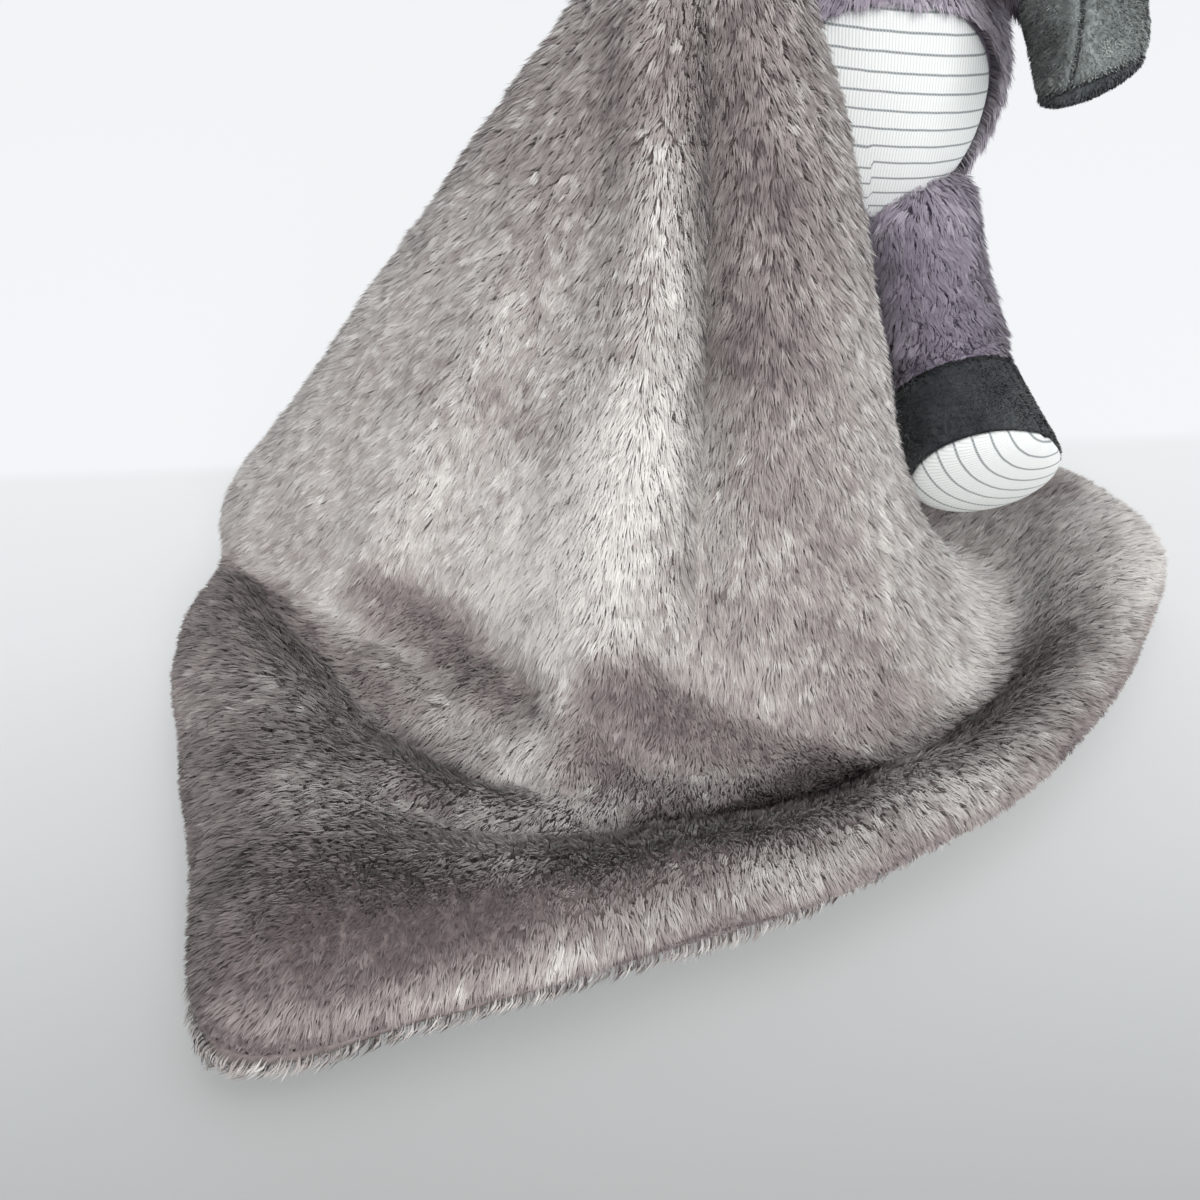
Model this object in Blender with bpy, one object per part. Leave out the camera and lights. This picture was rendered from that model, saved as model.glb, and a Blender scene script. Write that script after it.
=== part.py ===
"""Comfort blanket lovey: a plush donkey whose right hoof holds a square double-layer plush blanket.

Metres, +Z up, the toy faces -Y, and its left is +X. The origin is on the floor, on the flat underside of the
blanket's front brim. The blanket hangs from one stitched point near the middle of one side, falls as a cone
with two lobes, and turns up into a puffy rim where it lies on the floor.
"""

import math

import bmesh
import bpy
import numpy as np
from mathutils import Matrix, Vector

# Driving sizes
BLANKET_SIDE = 0.360
PLY = 0.0045  # one plush layer with its pile
HEM_PLY = 0.0090  # the same layer where it rolls round the hem
SEAM_GAP = 0.0003  # between sewn neighbours
SOCKET_GAP = 0.0005  # round a root that turns in its seam
FILL_GAP = 0.0013  # between a cover's inner face and its stuffing
FLAT_CUT = 0.0005  # how far the underside is pressed flat by the floor
FLOOR_PRESS = 0.0030  # an underside that hangs lower than this lies on the floor
APEX_HEIGHT = 0.222
APEX_RADIUS = 0.0105
APEX_BACK = 0.120  # from the origin back to the stitched point
PLEAT_DEPTH = 0.013
PLEAT_WIDTH = 0.016
PLEAT_OFFSET = 0.011
FULL_BRIM = 0.030  # a brim at least this wide has a full hem
HANGING_HEIGHT = 0.015  # above it the brim hangs down from the cone and no longer lies
FOLD_REACH = 0.0095  # how far a fold's rounding spreads along the cloth

BODY_HALF_WIDTH = 0.0405
BODY_HALF_DEPTH = 0.0350
BODY_HALF_HEIGHT = 0.0530
BODY_ASIDE = 0.0570
BODY_BACK = 0.1830
BODY_HEIGHT = 0.1615  # of the body's centre above the floor
NECK_RADIUS = 0.0310
HEAD_HALF_WIDTH = 0.0370
HEAD_HALF_DEPTH = 0.0390
HEAD_HALF_HEIGHT = 0.0385
HEAD_SEAT = 0.0050  # how far the head sits down over the body's top
HEAD_FORWARD = 0.0070
MUZZLE_REACH = 0.0260
TOY_LEAN = math.radians(4)
FUR_CLOTH = 0.0020
KNIT_CLOTH = 0.0012

ARM_ROOT_RADIUS = 0.0135
ARM_HOOF_RADIUS = 0.0168
ARM_BULGE = 0.0050
LEG_ROOT_RADIUS = 0.0172
LEG_HOOF_RADIUS = 0.0240
LEG_BULGE = 0.0065
EAR_LENGTH = 0.0780
EAR_HALF_WIDTH = 0.0155
EAR_BACK_CLOTH = 0.0028
EAR_LINING_CLOTH = 0.0014
EAR_SOCKET_RADIUS = 0.0046
EAR_SOCKET_DEPTH = 0.0030
MANE_HEIGHT = 0.0085
MANE_LIFT = 0.0009  # the strip's underside above the crown
TAIL_LENGTH = 0.0500
TAIL_RADIUS = 0.0042
TAIL_ROOT_RADIUS = 0.0060
TUFT_LENGTH = 0.0340
TUFT_RADIUS = 0.0085
STITCH_HEIGHT = 0.0008
TACK_RADIUS = 0.0045
TACK_HEIGHT = 0.0150
TACK_RISE = 0.0020  # how far the stitches stand above the gathered top

# Derived places
BODY_CENTRE = Vector((BODY_ASIDE, BODY_BACK, BODY_HEIGHT))
HEAD_RISE = BODY_HALF_HEIGHT + HEAD_HALF_HEIGHT - HEAD_SEAT
TACK_TOP = APEX_HEIGHT + TACK_RISE
HOLDING_HOOF = Vector((0, APEX_BACK - ARM_HOOF_RADIUS * 0.65, TACK_TOP + ARM_HOOF_RADIUS * 1.24))

# Blanket stations: azimuth round the stitched point from the front (-Y) towards +X, then shares of the
# blanket's side: radius of the cone's foot, radius of the hem, rise of the rim, height of the foot and of the
# hem above where they lie, and last how far the cone draws in above its foot.
BLANKET_SHARES = (
    (-162, 0.145, 0.180, 0.000, 0.182, 0.148, 0.000),
    (-145, 0.215, 0.240, 0.000, 0.145, 0.100, 0.000),
    (-125, 0.335, 0.325, 0.000, 0.105, 0.052, 0.000),
    (-110, 0.430, 0.400, 0.000, 0.082, 0.020, 0.000),
    (-96, 0.462, 0.445, 0.006, 0.064, 0.004, 0.000),
    (-80, 0.395, 0.482, 0.036, 0.048, 0.000, 0.006),
    (-60, 0.330, 0.515, 0.060, 0.018, 0.000, 0.014),
    (-46, 0.322, 0.565, 0.072, 0.004, 0.000, 0.020),
    (-35, 0.335, 0.635, 0.078, 0.000, 0.000, 0.022),
    (-24, 0.350, 0.545, 0.070, 0.000, 0.000, 0.022),
    (-12, 0.335, 0.474, 0.060, 0.000, 0.000, 0.024),
    (2, 0.318, 0.430, 0.054, 0.000, 0.000, 0.028),
    (18, 0.308, 0.396, 0.050, 0.000, 0.000, 0.030),
    (36, 0.305, 0.386, 0.046, 0.000, 0.000, 0.032),
    (54, 0.300, 0.388, 0.043, 0.000, 0.000, 0.044),
    (72, 0.286, 0.410, 0.042, 0.000, 0.000, 0.058),
    (90, 0.258, 0.448, 0.040, 0.000, 0.000, 0.066),
    (106, 0.222, 0.430, 0.018, 0.000, 0.000, 0.060),
    (120, 0.196, 0.395, 0.004, 0.006, 0.004, 0.046),
)
# Shares of the cone's length, and shares of the brim's width and of the rim's rise, along the profile.
SLOPE_SHARES = (0.0, 0.25, 0.5, 0.72, 0.88, 1.0)
BRIM_SHARES = ((0.14, 0.06), (0.34, 0.64), (0.54, 1.0), (0.74, 0.82), (0.90, 0.16), (1.0, 0.0))
SLOPE_ROW_SHARES = (0.0, 0.17, 0.34, 0.51, 0.66, 0.78, 0.87, 0.94, 1.0)
SLOPE_ROWS = len(SLOPE_ROW_SHARES)
BRIM_ROWS = 14
HEM_SHARES = (0.2, 0.5, 0.85, 1.0, 0.92, 0.45)  # how full the layer is over the last rows
PINCHED_SHARE = 0.72  # how full the top layer stays inside the fold at the cone's foot
FINE_PLACES = 161
COLUMNS_TO_STATION = 1.5
BLANKET_COLUMNS = 28

# Limb axes as shares of the body's half height from its centre: the root, the bend and the tip.
LEFT_ARM_SHARES = ((0.560, -0.170, 0.765), (0.905, -0.810, 0.820), (0.860, -1.245, 0.200))
RIGHT_ARM_SHARES = ((-0.540, -0.170, 0.735), (-1.000, -0.470, 1.370))
LEFT_LEG_SHARES = ((0.335, -0.250, -0.850), (0.375, -0.680, -1.530), (0.585, -1.510, -1.935))
RIGHT_LEG_SHARES = ((-0.330, -0.250, -0.850), (-0.660, -0.340, -1.290), (-1.030, -0.720, -1.980))
ARM_SEAM_SHARE = 0.58  # where the hoof starts along the limb
LEG_SEAM_SHARE = 0.66
LEG_WAIST_SHARE = 0.95
BELLY_POLE = (0.0, -1.0, -0.27)
BELLY_ANGLE = 61
MUZZLE_POLE = (0.0, -0.93, -0.37)
MUZZLE_ANGLE = 44
MUZZLE_SPREAD = 41
MANE_HALF_WIDTH_ANGLE = 13
MANE_START_ANGLE = 62
MANE_SWEEP_ANGLE = 152
EYE_WAY, EYE_ANGLE = (0.56, -0.72, 0.26), 5.0
NOSTRIL_WAY, NOSTRIL_ANGLE = (0.20, -0.93, -0.24), 2.6
EAR_ROOT_SHARE = 0.36  # pinched width at the ear's root
EAR_SLOT_SHARE = 0.60
EAR_ROOT_SHARES = ((-0.92, 0.39), (-0.45, 0.89), (0.15, 0.95), (0.75, 0.60))  # along and across the ear's rolled root
EAR_CUP_SHARE = 0.30
EAR_BEND_SHARE = 0.15
TAIL_POLE = (0.0, 0.88, -0.47)
TAIL_SHARES = ((0.04, 0.28, -0.20), (-0.08, 0.24, -0.96))  # bend and tip as shares of the tail's length
TUFT_SHARES = ((0.02, 0.30), (0.15, 0.80), (0.38, 1.0), (0.62, 0.92), (0.84, 0.60), (0.96, 0.25))
TACK_SHARES = ((0.0, 0.85), (0.2, 1.0), (0.6, 1.0), (1.0, 0.85))

GREY_FUR = (0.330, 0.300, 0.300)
LAVENDER_FUR = (0.235, 0.205, 0.230)
CHARCOAL = (0.050, 0.054, 0.054)
WHITE_KNIT = (0.780, 0.800, 0.790)
THREAD = (0.020, 0.020, 0.022)
STUFFING = (0.850, 0.850, 0.840)
PALE_VELOUR = (0.560, 0.550, 0.560)


def clear_scene():
    for thing in list(bpy.data.objects):
        bpy.data.objects.remove(thing)


def material(name, colour, roughness):
    made = bpy.data.materials.new(name)
    made.use_nodes = True
    shader = made.node_tree.nodes["Principled BSDF"]
    shader.inputs["Base Color"].default_value = (*colour, 1.0)
    shader.inputs["Roughness"].default_value = roughness
    shader.inputs["Metallic"].default_value = 0.0
    return made


def add_object(name, mesh, origin, look, parent=None):
    """Puts a mesh in the scene, in world places, with its origin moved to a joint or a centre."""
    mesh.transform(Matrix.Translation(-origin))
    thing = bpy.data.objects.new(name, mesh)
    bpy.context.scene.collection.objects.link(thing)
    thing.data.materials.append(material(name, *look))
    if parent is None:
        thing.location = origin
    else:
        thing.parent = parent
        thing.location = origin - parent_place(parent)
    return thing


def parent_place(thing):
    place = Vector(thing.location)
    while thing.parent is not None:
        thing = thing.parent
        place += thing.location
    return place


def stack(name, rings, start=None, end=None):
    """One closed mesh through rings of points, ended by a point at each end or else joined last to first."""
    work = bmesh.new()
    loops = [[work.verts.new(point) for point in ring] for ring in rings]
    pairs = list(zip(loops, loops[1:]))
    if start is None:
        pairs.append((loops[-1], loops[0]))
    for first, second in pairs:
        for i in range(len(first)):
            j = (i + 1) % len(first)
            work.faces.new((first[i], first[j], second[j], second[i]))
    for loop, tip in ((loops[0], start), (loops[-1], end)):
        if tip is not None:
            point = work.verts.new(tip)
            for i in range(len(loop)):
                work.faces.new((loop[i], loop[(i + 1) % len(loop)], point))
    bmesh.ops.recalc_face_normals(work, faces=work.faces)
    mesh = bpy.data.meshes.new(name)
    work.to_mesh(mesh)
    work.free()
    mesh.shade_smooth()
    return mesh


def slab(name, upper, lower):
    """One closed mesh between two grids of points of the same size."""
    work = bmesh.new()
    rows, columns = upper.shape[:2]
    grids = [[[work.verts.new(point) for point in row] for row in grid] for grid in (upper, lower)]
    for grid in grids:
        for i in range(rows - 1):
            for j in range(columns - 1):
                work.faces.new((grid[i][j], grid[i][j + 1], grid[i + 1][j + 1], grid[i + 1][j]))
    edge = [(0, j) for j in range(columns - 1)] + [(i, columns - 1) for i in range(rows - 1)]
    edge += [(rows - 1, j) for j in range(columns - 1, 0, -1)] + [(i, 0) for i in range(rows - 1, 0, -1)]
    for (a, b), (c, d) in zip(edge, edge[1:] + edge[:1]):
        work.faces.new((grids[0][a][b], grids[0][c][d], grids[1][c][d], grids[1][a][b]))
    bmesh.ops.recalc_face_normals(work, faces=work.faces)
    mesh = bpy.data.meshes.new(name)
    work.to_mesh(mesh)
    work.free()
    mesh.shade_smooth()
    return mesh


def eased(places, values, wanted):
    """Cubic curve through values at uneven places, read at the wanted places. Values may hold several columns."""
    places, values, wanted = (np.asarray(list(x), float) for x in (places, values, wanted))
    steps = np.diff(places)
    slopes = np.diff(values, axis=0) / steps.reshape(-1, *[1] * (values.ndim - 1))
    tangents = np.concatenate([slopes[:1], (slopes[:-1] + slopes[1:]) / 2, slopes[-1:]])
    at = np.clip(np.searchsorted(places, wanted, side="right") - 1, 0, len(steps) - 1)
    shape = (-1, *[1] * (values.ndim - 1))
    step = steps[at].reshape(shape)
    t = ((wanted - places[at]) / steps[at]).reshape(shape)
    return (
        values[at] * (2 * t**3 - 3 * t**2 + 1)
        + tangents[at] * step * (t**3 - 2 * t**2 + t)
        + values[at + 1] * (3 * t**2 - 2 * t**3)
        + tangents[at + 1] * step * (t**3 - t**2)
    )


def blanket_profile(foot, hem, rise, foot_height, hem_height, waist):
    """Radius and height at the profile's points, from the stitched point down and out to the hem."""
    lie = PLY + SEAM_GAP / 2 - FLAT_CUT
    hem_lie = HEM_PLY + SEAM_GAP / 2 - FLAT_CUT
    low, edge = foot_height + lie, hem_height + hem_lie
    points = []
    for share in SLOPE_SHARES:
        drawn_in = waist * share**3 * (1 - share) / (0.75**3 * 0.25)
        radius = APEX_RADIUS + (foot - APEX_RADIUS) * share - drawn_in
        points.append((radius, APEX_HEIGHT + (low - APEX_HEIGHT) * share))
    hanging = min(1, foot_height / HANGING_HEIGHT)
    for out, up in BRIM_SHARES:
        base = low + (edge - low) * out ** (2 - hanging)
        points.append((foot + (hem - foot) * out, base + rise * up))
    return points


def rounded(profile, wanted):
    """Places at the wanted points along a profile, once its folds are rounded by a running mean."""
    lengths = np.concatenate([[0], np.cumsum(np.linalg.norm(np.diff(profile, axis=0), axis=1))])
    fine = np.linspace(0, lengths[-1], FINE_PLACES)
    line = eased(lengths, profile, fine)
    steps = (line[1:] + line[:-1]) / 2 * (fine[1] - fine[0])
    total = np.concatenate([np.zeros((1, 2)), np.cumsum(steps, axis=0)])
    reach = np.minimum(np.minimum(fine, fine[-1] - fine), FOLD_REACH)[1:-1]
    for axis in range(2):
        high = np.interp(fine[1:-1] + reach, fine, total[:, axis])
        low = np.interp(fine[1:-1] - reach, fine, total[:, axis])
        line[1:-1, axis] = (high - low) / (2 * reach)
    places = np.interp(wanted, range(len(profile)), lengths)
    return np.stack([np.interp(places, fine, line[:, axis]) for axis in range(2)], axis=1)


def blanket_middle():
    """Grid of places on the sheet between the two plush layers, rows down from the top, columns round."""
    table = np.array(BLANKET_SHARES, float)
    table[:, 1:] *= BLANKET_SIDE
    between = np.arange(BLANKET_COLUMNS) / COLUMNS_TO_STATION
    azimuths = np.interp(between, range(len(table)), table[:, 0])
    stations = eased(table[:, 0], table[:, 1:], azimuths)
    count = len(SLOPE_SHARES) + len(BRIM_SHARES)
    foot_place = len(SLOPE_SHARES) - 1
    rows = np.concatenate(
        [
            foot_place * np.array(SLOPE_ROW_SHARES),
            np.linspace(foot_place, count - 1, BRIM_ROWS)[1:],
        ]
    )
    grid = np.empty((len(rows), BLANKET_COLUMNS, 3))
    for column, (azimuth, station) in enumerate(zip(azimuths, stations)):
        radius, height = rounded(np.array(blanket_profile(*station)), rows).T
        angle = math.radians(azimuth)
        across = radius * math.sin(angle)
        forward = math.cos(angle) > 0
        depth = PLEAT_DEPTH * np.exp(-(((across + PLEAT_OFFSET) / PLEAT_WIDTH) ** 2)) if forward else 0
        share = np.clip((APEX_HEIGHT - height) / APEX_HEIGHT, 0, 1)
        radius = radius - depth * np.sin(math.pi * share) ** 1.5
        grid[:, column, 0] = radius * math.sin(angle)
        grid[:, column, 1] = APEX_BACK - radius * math.cos(angle)
        grid[:, column, 2] = height
    return grid


def bisectors(grid):
    """Way along the first axis at each point: halfway between the steps before and after it."""
    steps = np.diff(grid, axis=0)
    steps /= np.linalg.norm(steps, axis=2, keepdims=True)
    return np.concatenate([steps[:1], steps[1:] + steps[:-1], steps[-1:]])


def grid_normals(grid):
    across = bisectors(grid.transpose(1, 0, 2)).transpose(1, 0, 2)
    normals = np.cross(bisectors(grid), across)
    return normals / np.linalg.norm(normals, axis=2, keepdims=True)


def ply_thickness(middle):
    """Thickness of one layer over the grid: fuller at the hem where it lies, and rounded off at every edge."""
    rows = SLOPE_ROWS + BRIM_ROWS - 1
    thick = np.full((rows, BLANKET_COLUMNS), PLY)
    brim = np.linalg.norm(middle[-1, :, :2] - middle[SLOPE_ROWS - 1, :, :2], axis=1)
    lying = np.clip(brim / FULL_BRIM, 0, 1) * (middle[-1, :, 2] < HEM_PLY + PLY)
    fuller = np.array(HEM_SHARES)[:, None] * lying[None, :]
    thick[-len(HEM_SHARES) :] += fuller * (HEM_PLY - PLY)
    thick[-1] *= 0.40
    for column in (0, -1):
        thick[:, column] *= 0.45
    return thick[:, :, None]


def blanket_layers(parent):
    middle = blanket_middle()
    normals = grid_normals(middle)
    thick = ply_thickness(middle)
    for name, side in (("blanket_under_layer", -1), ("blanket_top_layer", 1)):
        near = middle + normals * side * SEAM_GAP / 2
        if side > 0:
            thick[SLOPE_ROWS - 2 : SLOPE_ROWS + 2] *= PINCHED_SHARE
        far = near + normals * side * thick
        if side < 0:
            far[:, :, 2] = np.where(far[:, :, 2] < FLOOR_PRESS, 0, far[:, :, 2])
        for face in (far, near):
            face[:, :, 2] = np.minimum(face[:, :, 2], APEX_HEIGHT)
        mesh = slab(name, far, near)
        add_object(name, mesh, Vector((0, APEX_BACK, 0)), (GREY_FUR, 0.95), parent)


def toy_place(x, y, z):
    """Turns a place measured from the body's centre, along the toy's own leaning axes, into a world place."""
    return BODY_CENTRE + Matrix.Rotation(TOY_LEAN, 3, "Y") @ Vector((x, y, z))


def body_surface(direction, out):
    """Pear-shaped body: round at the neck, wide and deep at the seat."""
    x, y, z = direction
    share = max(0, z)
    blend = share**2 * (3 - 2 * share)
    width = BODY_HALF_WIDTH + (NECK_RADIUS - BODY_HALF_WIDTH) * blend + out
    depth = BODY_HALF_DEPTH + (NECK_RADIUS - BODY_HALF_DEPTH) * blend + out
    return toy_place(width * x, depth * y, (BODY_HALF_HEIGHT + out) * z)


def head_surface(direction, out):
    x, y, z = direction
    muzzle = Vector(MUZZLE_POLE).normalized()
    angle = math.acos(max(-1, min(1, direction.dot(muzzle))))
    reach = MUZZLE_REACH * math.exp(-((angle / math.radians(MUZZLE_SPREAD)) ** 3))
    skull = Vector(((HEAD_HALF_WIDTH + out) * x, (HEAD_HALF_DEPTH + out) * y, (HEAD_HALF_HEIGHT + out) * z))
    place = skull + muzzle * reach
    return toy_place(place.x, place.y - HEAD_FORWARD, place.z + HEAD_RISE)


def star_rings(surface, pole, start, end, out, rings, segments, edge=None):
    """Rings on a surface round a pole direction, from one polar angle to another in degrees. edge(turn) scales
    the last ring's angle, and the rings between follow it."""
    pole = Vector(pole).normalized()
    side = pole.orthogonal().normalized() if abs(pole.z) > 0.99 else Vector((0, 0, 1)).cross(pole).normalized()
    up = pole.cross(side)
    made = []
    for i in range(rings):
        ring = []
        for j in range(segments):
            turn = 2 * math.pi * j / segments
            scale = edge(turn) if edge else 1
            angle = math.radians(start + (end * scale - start) * i / (rings - 1))
            direction = pole * math.cos(angle) + (side * math.cos(turn) + up * math.sin(turn)) * math.sin(angle)
            ring.append(surface(direction, out))
        made.append(ring)
    return made


def disc_patch(name, surface, pole, angle, inner, outer, rings, segments, edge=None):
    """Cloth that covers the pole of a surface out to an angle."""
    first = angle / rings
    tops = star_rings(surface, pole, first, angle, outer, rings, segments, edge)
    lows = star_rings(surface, pole, first, angle, inner, rings, segments, edge)
    pole = Vector(pole).normalized()
    return stack(name, tops + lows[::-1], surface(pole, outer), surface(pole, inner))


def rest_patch(name, surface, pole, angle, inner, outer, rings, segments, edge=None):
    """Cloth that covers all of a surface but the part within an angle of the pole."""
    last = 180 - (180 - angle) / rings
    tops = star_rings(surface, pole, last, angle, outer, rings, segments, edge)
    lows = star_rings(surface, pole, last, angle, inner, rings, segments, edge)
    pole = Vector(pole).normalized()
    return stack(name, tops + lows[::-1], surface(-pole, outer), surface(-pole, inner))


def filled(name, surface, pole, out, rings, segments):
    step = 180 / (rings + 1)
    pole = Vector(pole).normalized()
    made = star_rings(surface, pole, step, 180 - step, out, rings, segments)
    return stack(name, made, surface(pole, out), surface(-pole, out))


def hidden_cutter(name, mesh, origin):
    cutter = bpy.data.objects.new(name, mesh)
    bpy.context.scene.collection.objects.link(cutter)
    cutter.location = origin
    cutter.hide_render = True
    cutter.display_type = "WIRE"
    return cutter


def ball_cutter(name, centre, radius):
    work = bmesh.new()
    bmesh.ops.create_uvsphere(work, u_segments=24, v_segments=14, radius=radius)
    mesh = bpy.data.meshes.new(name)
    work.to_mesh(mesh)
    work.free()
    return hidden_cutter(name, mesh, centre)


def cut(thing, cutter):
    step = thing.modifiers.new(cutter.name, "BOOLEAN")
    step.operation = "DIFFERENCE"
    step.object = cutter


class Limb:
    """A stuffed limb along a curve: a round root, a sleeve, a hoof and an end cap."""

    def __init__(self, points, root_radius, tip_radius, waist_share, bulge, cloth):
        self.points = points
        self.radii = (root_radius, (root_radius + tip_radius) / 2 * waist_share, tip_radius)
        self.bulge = bulge
        self.cloth = cloth

    def place(self, t):
        a, b, c = self.points
        return a * (1 - t) ** 2 + b * 2 * t * (1 - t) + c * t**2

    def way(self, t):
        a, b, c = self.points
        return ((b - a) * (1 - t) + (c - b) * t).normalized()

    def frame(self, t):
        way = self.way(t)
        side = way.cross(Vector((0, 0.35, 1))).normalized()
        return way, side, way.cross(side)

    def ring(self, t, inset, segments, ahead=0.0, scale=1.0):
        way, side, up = self.frame(t)
        radius = float(eased((0, 0.5, 1), self.radii, (t,))[0])
        radius = (radius - inset) * scale
        centre = self.place(t) + way * ahead
        turns = (2 * math.pi * i / segments for i in range(segments))
        return [centre + (side * math.cos(turn) + up * math.sin(turn)) * radius for turn in turns]

    def root_rings(self, inset, segments, count=3):
        radius = self.radii[0] - inset
        angles = [math.pi / 2 * (i + 1) / (count + 1) for i in range(count)]
        made = []
        for angle in angles:
            scale = math.sin(angle)
            made.append(self.ring(0, inset, segments, -radius * math.cos(angle), scale))
        return made

    def root_pole(self, inset):
        return self.place(0) - self.way(0) * (self.radii[0] - inset)

    def tube(self, start, end, inset, segments, count):
        return [self.ring(start + (end - start) * i / (count - 1), inset, segments) for i in range(count)]

    def dome_rings(self, inset, segments, ahead, bulge, count=3):
        made = []
        for i in range(count):
            angle = math.pi / 2 * i / count
            made.append(self.ring(1, inset, segments, ahead + bulge * math.sin(angle), math.cos(angle)))
        return made

    def dome_pole(self, ahead, bulge):
        return self.place(1) + self.way(1) * (ahead + bulge)


def limb_points(shares):
    return [BODY_CENTRE + Vector(place) * BODY_HALF_HEIGHT for place in shares]


def limb_pieces(kind, side, limb, seam, looks, parent, segments):
    """The sleeve, hoof, end cap and stuffing of one limb. The hoof starts at the share of its length named seam."""
    sleeve_look, hoof_look, cap_look, cap_name = looks
    cloth, root = limb.cloth, limb.points[0]
    length = (limb.points[2] - limb.points[0]).length
    edge = SEAM_GAP / length
    outer = limb.root_rings(0, segments) + limb.tube(0, seam, 0, segments, 4)
    inner = limb.root_rings(cloth, segments) + limb.tube(0, seam, cloth, segments, 4)
    sleeve = stack("sleeve", outer + inner[::-1], limb.root_pole(0), limb.root_pole(cloth))
    sleeve_object = add_object(f"{kind}_sleeve_{side}", sleeve, root, sleeve_look, parent)
    outer = limb.tube(seam + edge, 1, 0, segments, 4)
    inner = limb.tube(seam + edge, 1, cloth, segments, 4)
    hoof = stack("hoof", outer + inner[::-1])
    add_object(f"{kind}_hoof_{side}", hoof, root, hoof_look, sleeve_object)
    outer = limb.dome_rings(0, segments, SEAM_GAP, limb.bulge)
    inner = limb.dome_rings(KNIT_CLOTH, segments, SEAM_GAP, limb.bulge - KNIT_CLOTH)
    tip_out = limb.dome_pole(SEAM_GAP, limb.bulge)
    tip_in = limb.dome_pole(SEAM_GAP, limb.bulge - KNIT_CLOTH)
    cap = stack("cap", outer[::-1] + inner, tip_out, tip_in)
    add_object(f"{kind}_{cap_name}_{side}", cap, root, cap_look, sleeve_object)
    inset = cloth + FILL_GAP / 2
    swell = limb.bulge - KNIT_CLOTH - FILL_GAP
    rings = limb.root_rings(inset, segments, 2) + limb.tube(0, 1, inset, segments, 6)
    rings += limb.dome_rings(inset, segments, SEAM_GAP, swell, 2)[1:]
    end = limb.dome_pole(SEAM_GAP, swell)
    fill = stack("fill", rings, limb.root_pole(inset), end)
    add_object(f"{kind}_stuffing_{side}", fill, root, (STUFFING, 0.9), sleeve_object)
    return sleeve_object


def belly_edge(turn):
    """The belly panel is a rounded oblong, wider than it is tall."""
    across, tall = abs(math.cos(turn)), abs(math.sin(turn)) / 0.73
    return (across**2.5 + tall**2.5) ** -0.4


def body(parent):
    gap = math.degrees(SEAM_GAP / BODY_HALF_DEPTH)
    inside = -FUR_CLOTH
    cover = rest_patch("cover", body_surface, BELLY_POLE, BELLY_ANGLE + gap, inside, 0, 9, 22, belly_edge)
    panel = disc_patch("panel", body_surface, BELLY_POLE, BELLY_ANGLE, inside, 0, 6, 22, belly_edge)
    fill = filled("fill", body_surface, BELLY_POLE, inside - FILL_GAP, 10, 18)
    centre = toy_place(0, 0, 0)
    back = add_object("body_back_cover", cover, centre, (LAVENDER_FUR, 0.95), parent)
    belly = add_object("belly_panel", panel, centre, (WHITE_KNIT, 0.85), parent)
    stuffing = add_object("body_stuffing", fill, centre, (STUFFING, 0.9), parent)
    return back, belly, stuffing


def mane(parent, pivot):
    """A strip over the crown, from the forehead to the nape, thickest along its middle."""
    low, high = [], []
    for i in range(11):
        pitch = math.radians(MANE_START_ANGLE - MANE_SWEEP_ANGLE * i / 10)
        crown = math.sin(math.pi * (i + 0.6) / 11.2) ** 0.5
        low_row, high_row = [], []
        for j in range(5):
            share = (j - 2) / 2
            roll = math.radians(MANE_HALF_WIDTH_ANGLE * share)
            direction = Vector((math.sin(roll), -math.sin(pitch) * math.cos(roll), math.cos(pitch) * math.cos(roll)))
            rise = MANE_HEIGHT * crown * (1 - 0.75 * share**2)
            low_row.append(head_surface(direction, MANE_LIFT))
            high_row.append(head_surface(direction, MANE_LIFT + rise))
        low.append(low_row)
        high.append(high_row)
    mesh = slab("mane", np.array(high), np.array(low))
    add_object("mane", mesh, pivot, (LAVENDER_FUR, 0.95), parent)


def head(parent):
    gap = math.degrees(SEAM_GAP / HEAD_HALF_WIDTH)
    pivot = toy_place(0, 0, BODY_HALF_HEIGHT)
    inside = -FUR_CLOTH
    cover = rest_patch("cover", head_surface, MUZZLE_POLE, MUZZLE_ANGLE + gap, inside, 0, 9, 22)
    cover = add_object("head_cover", cover, pivot, (LAVENDER_FUR, 0.95), parent)
    muzzle = disc_patch("muzzle", head_surface, MUZZLE_POLE, MUZZLE_ANGLE, inside, 0, 6, 22)
    add_object("muzzle_cover", muzzle, pivot, (PALE_VELOUR, 0.9), cover)
    fill = filled("fill", head_surface, MUZZLE_POLE, inside - FILL_GAP, 11, 18)
    fill = add_object("head_stuffing", fill, pivot, (STUFFING, 0.9), cover)
    spots = (("eye_stitching", EYE_WAY, EYE_ANGLE), ("nostril_stitching", NOSTRIL_WAY, NOSTRIL_ANGLE))
    for name, place, angle in spots:
        for side, sign in (("left", 1), ("right", -1)):
            way = (place[0] * sign, place[1], place[2])
            mesh = disc_patch("spot", head_surface, way, angle, SEAM_GAP, SEAM_GAP + STITCH_HEIGHT, 2, 12)
            add_object(f"{name}_{side}", mesh, pivot, (THREAD, 0.5), cover)
    mane(cover, pivot)
    return cover, fill


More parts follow.
